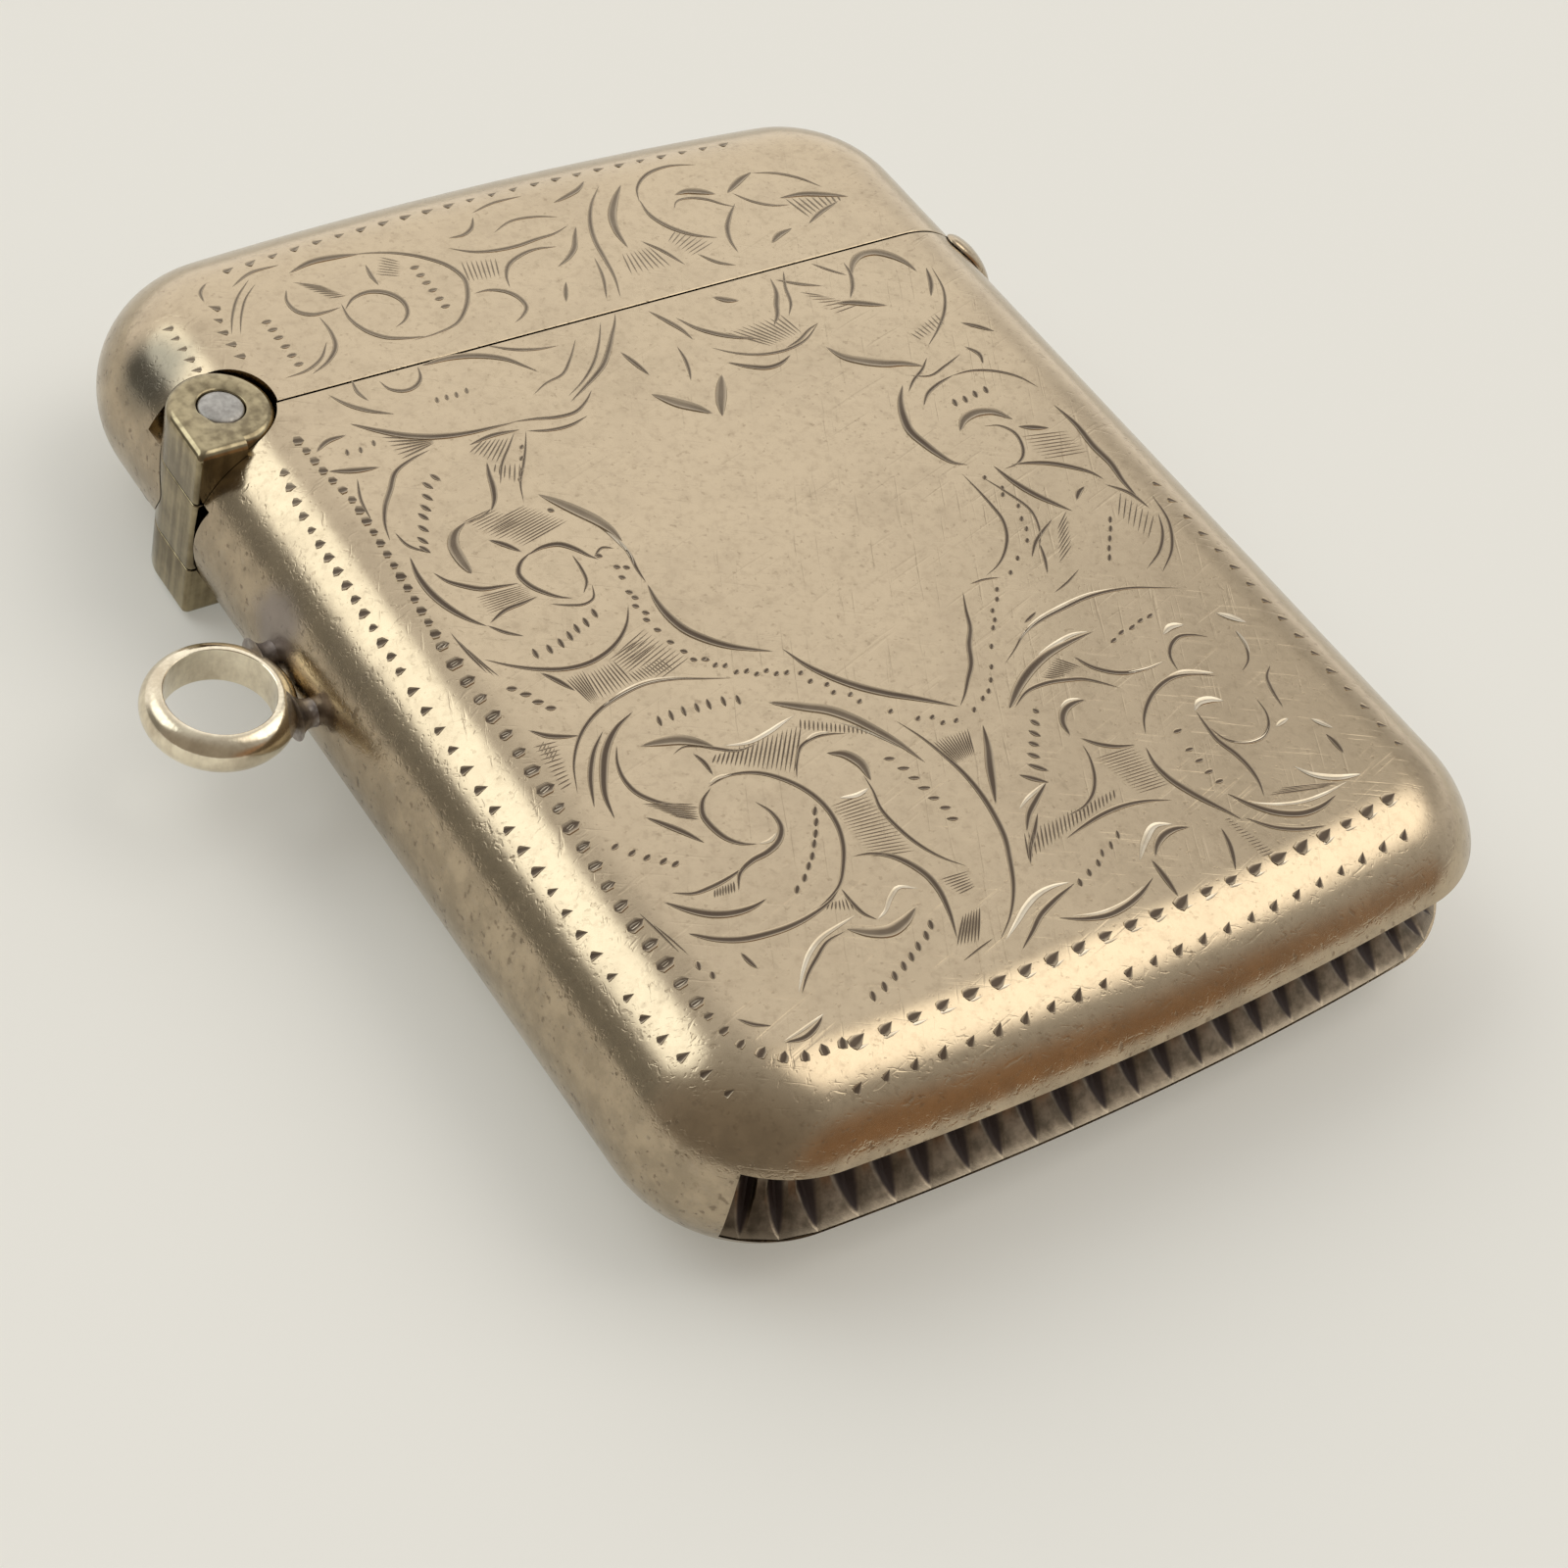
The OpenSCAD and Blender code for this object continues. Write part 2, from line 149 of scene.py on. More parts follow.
def core_path(mouth, end):
    """Core outline of a cup closed at +Y: points and outward normals.
    A straight side, a corner arc, the end arc, a corner arc and a side, in order."""
    sides = np.concatenate([[mouth], np.linspace(mouth + 0.03, CORNER_Y, 30)])
    turn = np.linspace(np.pi, np.pi / 2 + ARC_TURN, 38)
    arc = np.linspace(np.pi / 2 + ARC_TURN, np.pi / 2 - ARC_TURN, 60)
    way = [np.stack([np.full_like(sides, -SIDE_X), sides], -1),
           ([-CORNER_X, CORNER_Y] + CORNER_CORE * on_circle(turn))[1:],
           ([0, ARC_Y] + ARC_CORE * on_circle(arc))[1:-1]]
    angle = np.concatenate([np.full_like(sides, np.pi), turn[1:], arc[1:-1]])
    half = len(sides) + len(turn) - 1
    points = np.concatenate(way)
    points = np.concatenate([points, points[:half][::-1] * [-1, 1]])
    angle = np.concatenate([angle, np.pi - angle[:half][::-1]])
    return points * [1, end], on_circle(angle) * [1, end]


print("outline of the lid:", len(core_path(LID_MOUTH, 1)[0]), "points")

# %% [markdown]
# The walls are two pressings soldered edge to edge, so each of body and lid is a cup
# with one wall all round. A box with a bevel would round the corners wrongly; here
# the section of the wall is carried round the core outline instead. One parameter
# runs round the outline, the other from the front's middle line over the round edge
# to the back's, and the inner wall is the same surface with a smaller ball.

# %% Body and lid shells
SPINE_END = 15.5  # where the middle line of a face ends
FLAT_SHARES = (0, 0.35, 0.7, 1)  # rows of points from the middle line to the outline
FLAT_MARGIN = 0.15  # what the last of them keeps from the outline
LIP_EASE = 0.02  # what the mouth's own edge draws in


def cup_wall(core, normal, ball):
    """One wall of a cup: flat from the middle line to the core outline, then a half
    circle of radius ball over the edge, then flat back to the middle line."""
    end = np.sign(core[len(core) // 2, 1])
    spine = np.stack([np.zeros(len(core)), np.minimum(core[:, 1] * end, SPINE_END) * end], -1)
    reach = np.linalg.norm(core - spine, axis=1, keepdims=True)
    near = 1 - FLAT_MARGIN / reach
    flat = np.stack([spine + (core - spine) * (share * near) for share in FLAT_SHARES], 1)
    theta = np.radians(np.linspace(0, 180, 61))
    ball = np.broadcast_to(ball, (len(core),))[:, None]
    edge = core[:, None] + normal[:, None] * (ball * np.sin(theta))[..., None]
    plan = np.concatenate([flat, edge, flat[:, ::-1]], 1)
    flat_level = np.repeat(ball, len(FLAT_SHARES), 1)
    level = np.concatenate([flat_level, ball * np.cos(theta), -flat_level], 1)
    return np.concatenate([plan, MID_Z + level[..., None]], -1)


def cup(mouth, end):
    """A closed cup: outer wall, inner wall and the rim strips that join them."""
    core, normal = core_path(mouth, end)
    ball = np.full(len(core), EDGE)
    ball[[0, -1]] -= LIP_EASE
    outer, inner = cup_wall(core, normal, ball), cup_wall(core, normal, EDGE - WALL)
    rims = [np.stack([outer[k], inner[k]]) for k in (0, -1)]
    return joined(sheet(outer), sheet(inner), *[sheet(rim) for rim in rims])


body_shell = made_piece("body_shell", cup(-BODY_MOUTH, -1), "case",
                        ("body_front", "body_back"))
lid_shell = made_piece("lid_shell", cup(LID_MOUTH, 1), "lid",
                       ("lid_front", "lid_back"))

# %% [markdown]
# The hinge stands on edge in the side wall: three knuckles on one upright pin, round
# towards the case and with a square heel outside, which stops the lid when it is open.
# Windows and knuckles share these outlines, so that they fit.

# %% Outlines of the hinge
HINGE = np.array([-15.8, 13.0])
KNUCKLE_R, KNUCKLE_HEEL = 1.9, 2.1
SWEEP_R = 2.982  # reach of a heel's corner as it swings, and a little room
MID_LOW, MID_HIGH = 2.45, 5.55  # the lid's knuckle, from the back
HEEL_CLEAR = 0.15  # room above the body's heels
HEEL_EASE, WINDOW_EASE = 0.2, 0.22  # rounding of a heel's corner and of its window's


def knuckle_plan(grow=0.0, ease=WINDOW_EASE, flat=None):
    """Outline of a knuckle from above, seen from the hinge axis: a round barrel with a
    square heel at its outer lower side; a flat, if given, cuts its inner side."""
    r, heel = KNUCKLE_R + grow, KNUCKLE_HEEL + grow
    barrel = r * on_circle(np.radians(np.linspace(-90, 180, 91)))
    bend = on_circle(np.radians(np.linspace(180, 270, 9)))
    corner = [-r + ease, -heel + ease] + ease * bend
    plan = np.concatenate([barrel, corner, [[-0.01, -heel]]])
    if flat is not None:
        plan[:, 0] = np.minimum(plan[:, 0], flat)
    return plan


def round_plan(r):
    """A circle of radius r, as 96 points."""
    return r * on_circle(np.linspace(0, 2 * np.pi, 96, endpoint=False))


def heel_room():
    """Left side of the hinge that the body's heels pass as the lid turns a quarter:
    a disc of the heels' reach, cut off above where the heels' faces end and at the axis."""
    top = KNUCKLE_R + HEEL_CLEAR
    turn = np.linspace(np.pi - np.arcsin(top / SWEEP_R), 1.5 * np.pi, 60)
    return np.concatenate([[[0, top]], SWEEP_R * on_circle(turn)])


print("knuckle outline:", len(knuckle_plan()), "points, heel reach", SWEEP_R, "mm")

# %% [markdown]
# The hinge knuckles sit in windows sawn out of the side wall, and the striker in a
# slot milled along the far end. A saw cut is a Boolean: each cutter is a closed
# solid, and its result is kept as the shell's own mesh.

# %% Cut the hinge windows
UNDER, OVER = -1, 9  # levels clear of the case, where cutters end
FILM = 0.02  # room round a knuckle that is soldered in
TURNING = 0.08  # room round a knuckle that turns
GAP = 0.06  # room between the ends of two knuckles


def at_level(plan, z):
    """Plan points with one height."""
    return np.column_stack([plan, np.full(len(plan), z)])


def capped(points):
    """A grid wrapped across its columns, with its first and last rows closed as faces."""
    flat, quads = sheet(points, wrap_cols=True)
    n, cols = len(flat), points.shape[1]
    return flat, quads.tolist() + [list(range(cols)), list(range(n - cols, n))]


def prism(plan, z0, z1):
    """A plan at the hinge axis carried straight up from z0 to z1, with flat ends."""
    return capped(np.stack([at_level(plan + HINGE, z) for z in (z0, z1)]))


def cut_away(shell, points, faces):
    """Take a closed solid away from a shell, and keep the result as its mesh."""
    cutter = bpy.data.objects.new("cutter", made_mesh("cutter", points, faces))
    bpy.context.scene.collection.objects.link(cutter)
    cut = shell.modifiers.new("cut", "BOOLEAN")
    cut.operation, cut.solver, cut.object = "DIFFERENCE", "EXACT", cutter
    deps = bpy.context.evaluated_depsgraph_get()
    result = bpy.data.meshes.new_from_object(shell.evaluated_get(deps))
    shell.modifiers.clear()
    old, shell.data = shell.data, shaded(result)
    bpy.data.meshes.remove(old)
    bpy.data.objects.remove(cutter)


window = (MID_LOW - GAP, MID_HIGH + GAP)
cut_away(body_shell, *prism(knuckle_plan(FILM), UNDER, OVER))
cut_away(body_shell, *prism(round_plan(SWEEP_R), *window))
cut_away(lid_shell, *prism(knuckle_plan(FILM), *window))
for low, high in ((UNDER, MID_LOW), (MID_HIGH, OVER)):
    cut_away(lid_shell, *prism(round_plan(KNUCKLE_R + TURNING), low, high))
    cut_away(lid_shell, *prism(heel_room(), low, high))
print("windows cut: body", len(body_shell.data.polygons), "faces, lid",
      len(lid_shell.data.polygons), "faces")

# %% [markdown]
# The striker's slot follows the end's outline and part of the way round both corners,
# further at the right. A path by length makes that simple: the middle is an arc, and past
# its end the same length runs on round the corner. The cutter is a square section on it.

# %% The striker's path and slot
END_R, TURN_R = ARC_CORE + EDGE, CORNER_CORE + EDGE
ARC_HALF = END_R * ARC_TURN
FIRST_CUT = -ARC_HALF - TURN_R * np.radians(38)
LAST_CUT = ARC_HALF + TURN_R * np.radians(57)
SLOT_W, SLOT_DEPTH, CUTTER_PROUD = 3.4, 2.4, 0.8


def striker_path(s):
    """Point and outward normal of the end's outline at length s from its middle:
    an arc out to where the corner starts, then round the corner's own arc."""
    s = np.asarray(s, float)
    on_arc = np.abs(s) <= ARC_HALF
    turn = np.where(on_arc, np.abs(s) / END_R, ARC_TURN + (np.abs(s) - ARC_HALF) / TURN_R)
    normal = np.stack([np.sign(s) * np.sin(turn), -np.cos(turn)], -1)
    corner = np.stack([np.sign(s) * CORNER_X, np.full(s.shape, -CORNER_Y)], -1)
    middle = np.where(on_arc[..., None], [0, -ARC_Y], corner)
    reach = np.where(on_arc, END_R, TURN_R)[..., None]
    return middle + normal * reach, normal


def carried(s, depth, level):
    """Points at length s along the striker's path, depth below the outline and level
    above the middle of the thickness, all arrays of one shape."""
    point, normal = striker_path(s)
    return np.concatenate([point - normal * depth[..., None], (MID_Z + level)[..., None]], -1)


s = np.repeat(np.linspace(FIRST_CUT, LAST_CUT, 121)[:, None], 4, 1)
depth = np.broadcast_to([-CUTTER_PROUD, SLOT_DEPTH, SLOT_DEPTH, -CUTTER_PROUD], s.shape)
level = np.broadcast_to(np.array([-0.5, -0.5, 0.5, 0.5]) * SLOT_W, s.shape)
cut_away(body_shell, *capped(carried(s, depth, level)))
print("slot cut:", len(body_shell.data.polygons), "faces,",
      round(float(LAST_CUT - FIRST_CUT), 1), "mm long")

# %% [markdown]
# The striker was cut with a three-square file: a strip scooped out along its length,
# with a row of V cuts that are wide under the front lip and run out to a point before
# the back lip. A bump map would stay flat at the edge, so the cuts are real. Each cut is
# six columns of the grid, whose spread is the width of the cut at that level.

# %% The striker strip
PITCH = 1.39
CUTS = int((LAST_CUT - FIRST_CUT) / PITCH)
LIP, SCOOP, CUT_DEPTH, CUT_W = 0.44, 1.55, 0.42, 0.9
STRIP_BACK = 2.7  # depth of the strip's hidden back
STRIP_FIT = 0.02  # room between the strip and its slot, above and below
CUT_END, RUN_OUT = -0.985, 0.45  # where a cut ends, and over what share across it runs out
TAPER_POWER = 0.45  # less is a cut that stays wide for longer
FLOOR_GAIN = 1.3  # how soon a widening cut counts as floor
SPREAD = np.array([-1.2, -1, -0.15, 0.15, 1, 1.2])  # a cut's six columns, in half widths
DEEP = np.array([0, 0.1, 1, 1, 0.1, 0])  # and how deep each lies
cut_rng = np.random.default_rng(7)
cut_lean = cut_rng.uniform(-0.08, 0.08, CUTS)
cut_size = cut_rng.uniform(0.85, 1.15, CUTS)


def striker_strip():
    """Surface along the path by across the slot. Depth is a lip plus a scoop, which is one
    minus the square of the place across, plus a V at each cut that tapers to nothing short
    of the back lip. The last result is how deep in a cut each point is."""
    across = np.linspace(-1, 1, 41)
    level = across * (SLOT_W / 2 - STRIP_FIT)
    middle = FIRST_CUT + (np.arange(CUTS) + 0.5) * (LAST_CUT - FIRST_CUT) / CUTS
    taper = np.clip((across - CUT_END) / RUN_OUT, 0.001, 1) ** TAPER_POWER
    width = CUT_W * taper * cut_size[:, None]
    along = (middle[:, None, None] + cut_lean[:, None, None] * across
             + SPREAD[:, None] * width[:, None, :] / 2)
    inside = np.broadcast_to(DEEP[:, None] * np.minimum(1, FLOOR_GAIN * taper), along.shape)
    drop = CUT_DEPTH * inside * taper * cut_size[:, None, None]
    along, drop, inside = (v.reshape(-1, len(level)) for v in (along, drop, inside))
    ends = np.ones((1, len(level)))
    along = np.concatenate([FIRST_CUT * ends, along, LAST_CUT * ends])
    drop, inside = (np.concatenate([0 * ends, v, 0 * ends]) for v in (drop, inside))
    front = LIP + SCOOP * (1 - across ** 2) + drop
    back = np.full((len(along), 2), STRIP_BACK)
    along = np.concatenate([along, along[:, -1:], along[:, :1]], 1)
    inside = np.concatenate([inside, 0 * back], 1)
    height = np.broadcast_to(np.concatenate([level, level[-1:], level[:1]]), along.shape)
    return capped(carried(along, np.concatenate([front, back], 1), height)), inside.reshape(-1)


shape, inside = striker_strip()
striker = made_piece("striker", shape, "case", ("striker_strip",), 24, inside)

# %% [markdown]
# Three knuckles turn on one pin: the outer two are soldered to the body, the middle one
# to the lid. They are short tubes with a square heel. Their profile is a closed loop,
# rounded at the worn outer ends, carried round the knuckle's outline.

# %% Hinge knuckles
PIN_R = 0.83
BODY_BORE, LID_BORE = PIN_R + 0.02, PIN_R + 0.04
BODY_FLAT, LID_FLAT = 1.45, 1.7  # distance of the inner flats from the pin's axis
OUTER_END, FLAT_END = 0.1, 0.85  # depth of the outer ends and of the body's flats
THICK = 2 * MID_Z
SHARP, WORN = 0.05, 0.34  # how far an inner and an outer end are rounded
BORE_EASE = ((0, 0.1), (0.03, 0.03), (0.1, 0))  # depth in the bore, and what it widens there


def knuckle(low, high, bore, flat, flat_low, flat_high, ease_low, ease_high):
    """A closed tube: loops of the plan at rising levels, then the bore's loops back down.
    Near each end the outline draws in by a quarter circle of that end's ease, and within
    the flat's levels its inside is cut."""
    quarter = np.radians(np.linspace(0, 90, 7))
    rise = [(low + ease_low * (1 - np.sin(a)), ease_low * (1 - np.cos(a))) for a in quarter[::-1]]
    fall = [(high - ease_high * (1 - np.sin(a)), ease_high * (1 - np.cos(a))) for a in quarter]
    step = [(z + d, 0) for z in (flat_low, flat_high) for d in (-0.002, 0.002)
            if low + ease_low < z < high - ease_high]
    loops = []
    for z, draw in rise + step + fall:
        cut = flat - draw if flat_low < z < flat_high else None
        loops.append(at_level(knuckle_plan(-draw, HEEL_EASE, cut) + HINGE, z))
    plan = knuckle_plan(0, HEEL_EASE)
    hole = plan / np.linalg.norm(plan, axis=1, keepdims=True)
    levels = [(high - deep, wide) for deep, wide in BORE_EASE]
    levels += [(low + deep, wide) for deep, wide in BORE_EASE[::-1]]
    loops += [at_level(hole * (bore + wide) + HINGE, z) for z, wide in levels]
    return sheet(np.stack(loops), wrap_rows=True, wrap_cols=True)


front_knuckle = made_piece(
    "body_barrel_front", knuckle(window[1], THICK - OUTER_END, BODY_BORE, BODY_FLAT,
                                 UNDER, THICK - FLAT_END, SHARP, WORN),
    "case", ("body_knuckle_front",))
back_knuckle = made_piece(
    "body_barrel_back", knuckle(OUTER_END, window[0], BODY_BORE, BODY_FLAT,
                                FLAT_END, OVER, WORN, SHARP),
    "case", ("body_knuckle_back",))
lid_knuckle = made_piece(
    "lid_barrel", knuckle(MID_LOW, MID_HIGH, LID_BORE, LID_FLAT, UNDER, OVER, SHARP, SHARP),
    "lid", ("lid_knuckle",))

# %% [markdown]
# The pin is a rod whose ends were hammered over until they filled the knuckles, so they
# are low domes. A profile turned about the pin's axis gives it, as a lathe would.

# %% Hinge pin
def turned(profile, centre, steps=72):
    """A profile of radius and height turned about an upright axis through centre."""
    round_way = on_circle(np.linspace(0, 2 * np.pi, steps, endpoint=False))
    return np.stack([at_level(centre + r * round_way, z) for r, z in profile])


half_pin = [(0, 7.93), (0.35, 7.925), (0.6, 7.91), (0.74, 7.88), (0.8, 7.84), (PIN_R, 7.78)]
pin_profile = half_pin + [(r, THICK - z) for r, z in half_pin[::-1]]
pin = made_piece("hinge_rivet", sheet(turned(pin_profile, HINGE), wrap_cols=True),
                 "case", ("hinge_pin",))

# %% [markdown]
# The chain ring is half-round wire bent to a hoop, so it is one D section turned about
# an upright axis. Solder has run into both corners between ring and wall. Solder pulls
# into hollows, so each joint is a tube that flares at both ends.

# %% Chain ring and its solder
RING = np.array([-20.42, 3.5])
RING_HOLE, WIRE, WIRE_EASE = 1.9, 0.76, 0.04
SOLDER_X, SOLDER_HALF = -17.78, 0.62  # middle and half length of a joint
SOLDER_Y, SOLDER_SPLAY = 1.42, 0.12  # its distance from the ring's middle, and what that grows
WAIST_Y, FLARE_Y, WAIST_Z, FLARE_Z = 0.52, 0.42, 0.5, 0.36  # half sizes midway, and their growth
FLARE_POWER = 2.4  # more is a joint that flares only near its ends
bow = np.radians(np.linspace(-84, 84, 33))
bow_side = np.stack([RING_HOLE + WIRE_EASE + (WIRE - WIRE_EASE) * np.cos(bow),
                     MID_Z + WIRE * np.sin(bow)], -1)
flat_side = np.stack([np.array([WIRE_EASE, 0.01, 0, 0, 0, 0.01, WIRE_EASE]) + RING_HOLE,
                      MID_Z + WIRE * np.array([0.99, 0.96, 0.85, 0, -0.85, -0.96, -0.99])], -1)
hoop = turned(np.concatenate([bow_side, flat_side]), RING, 120)
ring = made_piece("chain_hoop", sheet(hoop, wrap_rows=True, wrap_cols=True), "case",
                  ("chain_ring",))


def solder_joint(side):
    """A flared tube from the hoop's back to the wall: its half width and half height
    are least midway and grow with a power of the distance from there."""
    run, turn = np.meshgrid(np.linspace(-1, 1, 19), np.linspace(0, 2 * np.pi, 40, endpoint=False),
                            indexing="ij")
    flare = np.abs(run) ** FLARE_POWER
    half_y, half_z = WAIST_Y + FLARE_Y * flare, WAIST_Z + FLARE_Z * flare
    y = RING[1] + side * (SOLDER_Y + SOLDER_SPLAY * run) + half_y * np.cos(turn)
    return capped(np.stack([SOLDER_X + SOLDER_HALF * run, y, MID_Z + half_z * np.sin(turn)], -1))


solder = [made_piece("solder_upper", solder_joint(1), "case", ("ring_lugs",)),
          made_piece("solder_lower", solder_joint(-1), "case")]

# %% [markdown]
# A small nib on the lid's free side overhangs the seam, for the thumb to push. It is a
# drop of silver filed to a lens: one disc of points lies just off the round wall, and a
# second disc swells outwards from it, with the same rim.

# %% Thumb nib
NIB_Y, NIB_HALF = 12.0, 1.36  # middle and half width along the side
NIB_TURN = 0.98  # radians, how far it reaches round the edge each way
NIB_OFF, NIB_SWELL = 0.05, 0.54


def thumb_nib():
    """Two discs with one rim, bent round the wall: the distance from the middle of the
    edge's arc is the wall's plus a swell that falls from the middle to the rim as the
    root of one minus the square of the radius."""
    r, turn = np.meshgrid(np.sin(np.linspace(0, np.pi / 2, 15)),
                          np.linspace(0, 2 * np.pi, 64, endpoint=False), indexing="ij")
    y, around = NIB_Y + NIB_HALF * r * np.cos(turn), NIB_TURN * r * np.sin(turn)
    discs = []
    for swell in (NIB_SWELL * np.sqrt(1 - r ** 2), 0 * r):
        reach = EDGE + NIB_OFF + swell
        x, z = SIDE_X + reach * np.cos(around), MID_Z + reach * np.sin(around)
        discs.append(sheet(np.stack([x, y, z], -1), wrap_cols=True))
    return joined(*discs)


nib = made_piece("thumb_nib", thumb_nib(), "lid", ("thumb_piece",))

# %% [markdown]
# The front is engraved by hand with scrolls and leaves round a bare shield. An image
# would carry that more cheaply, but it stays flat when the light moves. So every line
# is a real cut, and has to know the height and slope of the silver under it, on the
# flat face and on the round edge alike.

# %% The skin under the cuts
def skin(xy):
    """Points and normals of the front over plan points: flat inside the core outline,
    and beyond it the quarter circle of the round edge, by the distance past the outline."""
    x, y = np.abs(xy[..., 0]), np.abs(xy[..., 1])
    on_side = y <= CORNER_Y
    on_arc = x <= (y - ARC_Y) * np.tan(ARC_TURN)
    arc = np.hypot(x, y - ARC_Y)
    turn = np.maximum(np.hypot(x - CORNER_X, y - CORNER_Y), 1e-9)

    def pick(side, end, corner):
        return np.where(on_side, side, np.where(on_arc, end, corner))

    past = pick(x - SIDE_X, arc - ARC_CORE, turn - CORNER_CORE)
    out_x = pick(1.0, x / arc, (x - CORNER_X) / turn)
    out_y = pick(0.0, (y - ARC_Y) / arc, (y - CORNER_Y) / turn)
    lean = np.clip(past, 0, 0.99 * EDGE) / EDGE
    rise = np.sqrt(1 - lean ** 2)
    sign = np.sign(xy)
    normal = np.stack([out_x * lean * sign[..., 0], out_y * lean * sign[..., 1], rise], -1)
    return np.concatenate([xy, (MID_Z + EDGE * rise)[..., None]], -1), normal


print("height of the skin at the middle:", skin(np.zeros((1, 2)))[0][0, 2], "mm")

# %% [markdown]
# A burin swells in the middle of a stroke and lifts out at its ends, and it throws up a
# small burr on both sides. The burrs and the floor between them are carried along a
# smooth line that follows the skin. A chisel's nick is a wedge: square at one end and
# pointed at the other.

# %% How one cut is made
WEIGHT = 0.74  # share of each half width below that the burin really cuts
STEP, NICK_STEP = 0.16, 0.05  # points along a stroke and along a nick
ACROSS = np.array([-1.3, -1.0, -0.35, 0.35, 1.0, 1.3])
LIFT = np.array([-0.35, 0.24, 0.03, 0.03, 0.24, -0.35])
LIFT_LIMIT, LIFT_LEAST = 0.16, 0.002  # broader cuts throw up no more; nothing sinks in
FULLNESS = 0.75  # power of the swell: less is fuller
NICK_START = 0.12  # share of a wedge over which its square end opens


def lengths(line):
    """Length along a line of points, up to each of them."""
    return np.concatenate([[0], np.cumsum(np.linalg.norm(np.diff(line, axis=0), axis=1))])


def smooth_line(marks, step):
    """A smooth line through set marks: cubics that take their slope at each mark from
    the chords on either side, sampled evenly by length."""
    p = np.asarray(marks, float)
    t = lengths(p)
    slope = np.gradient(p, t, axis=0)
    s = np.linspace(0, t[-1], max(6, int(t[-1] / step) + 2))
    k = np.clip(np.searchsorted(t, s, side="right") - 1, 0, len(t) - 2)
    h = (t[k + 1] - t[k])[:, None]
    u = (s - t[k])[:, None] / h
    return ((2 * u ** 3 - 3 * u ** 2 + 1) * p[k] + (u ** 3 - 2 * u ** 2 + u) * h * slope[k]
            + (3 * u ** 2 - 2 * u ** 3) * p[k + 1] + (u ** 3 - u ** 2) * h * slope[k + 1])


def burin_cut(half_width, marks, early=1.0, point=0.0):
    """One cut: columns across the line hold foot, burr, floor, floor, burr and foot.
    The half width swells as a sine along the cut, drawn to its start or end by early.
    With a point it is a wedge instead: square at its start, and narrowing over the last
    share of its length, which point gives."""
    line = smooth_line(marks, NICK_STEP if point else STEP)
    along = np.linspace(0, 1, len(line))
    if point:
        swell = np.clip(along / NICK_START, 0.01, 1) * np.clip((1 - along) / point, 0.01, 1)
    else:
        swell = np.maximum(np.sin(np.pi * along ** early), 0) ** FULLNESS
    swell = WEIGHT * half_width * swell[:, None]
    way = np.gradient(line, axis=0)
    way /= np.maximum(np.linalg.norm(way, axis=1, keepdims=True), 1e-9)
    square = np.stack([-way[:, 1], way[:, 0]], -1)
    place, normal = skin(line[:, None] + square[:, None] * (swell * ACROSS)[..., None])
    return place + normal * (LIFT * np.minimum(swell, LIFT_LIMIT) + LIFT_LEAST)[..., None]


print("a stroke of 1 mm has", burin_cut(0.1, ((0, 0), (1, 0))).shape[0], "rows of points")

# %% [markdown]
# Hatching is a run of parallel strokes, and a row of nicks is one short stroke at many
# places, so a helper makes each. Thousands of separate cuts would be slow to handle, so
# all the cuts of one part become one piece. Each point carries how far down in a cut
# it lies, for the finish.

# %% Many cuts as one piece
FLOOR_COLUMNS = np.array([0, 0, 1, 1, 0, 0])
DIRTY_WIDTH = 0.2  # cuts of more half width than this hold less dirt
NICK_WIDTH = 1.15  # a nick's half width for one of a stroke


def cut_piece(name, cuts, body):
    """Many cuts as one piece, with a floor value along the floors for the finish: 1 in
    thin cuts and in wedges, which hold dirt, and less in broad shallow cuts."""
    grids = [burin_cut(*cut) for cut in cuts]
    dirt = [1 if len(cut) > 3 else min(1, DIRTY_WIDTH / cut[0]) for cut in cuts]
    floor = [np.tile(FLOOR_COLUMNS, len(grid)) * share for grid, share in zip(grids, dirt)]
    print(len(cuts), "cuts:")
    return made_piece(name, joined(*[sheet(grid, wrap_cols=True) for grid in grids]), body,
                      crease=20, floor=np.concatenate(floor))


def hatch(half_width, first, last, count):
    """Parallel cuts: each end steps evenly from the first line's end to the last's."""
    k = np.linspace(0, 1, count)[:, None, None]
    lines = np.asarray(first, float) * (1 - k) + np.asarray(last, float) * k
    return [(half_width, line) for line in lines]


def nicks(half_width, length, lean, *places):
    """Short cuts centred on places, each of one length and leaning by one angle."""
    way = 0.5 * length * on_circle(np.radians(lean))
    return [(NICK_WIDTH * half_width, (np.array(p) - way, np.array(p) + way)) for p in places]


print("six hatch lines:", len(hatch(0.1, ((0, 0), (1, 0)), ((0, 1), (1, 1)), 6)), "cuts")

# %% [markdown]
# These marks follow the engraver's lines across the body, in millimetres from the
# middle of the case. A stroke is a half width and its marks, and a third number draws
# its swell to one end. At the lower left a large scroll unrolls into a leaf, with
# hatching on the ground between its turns.

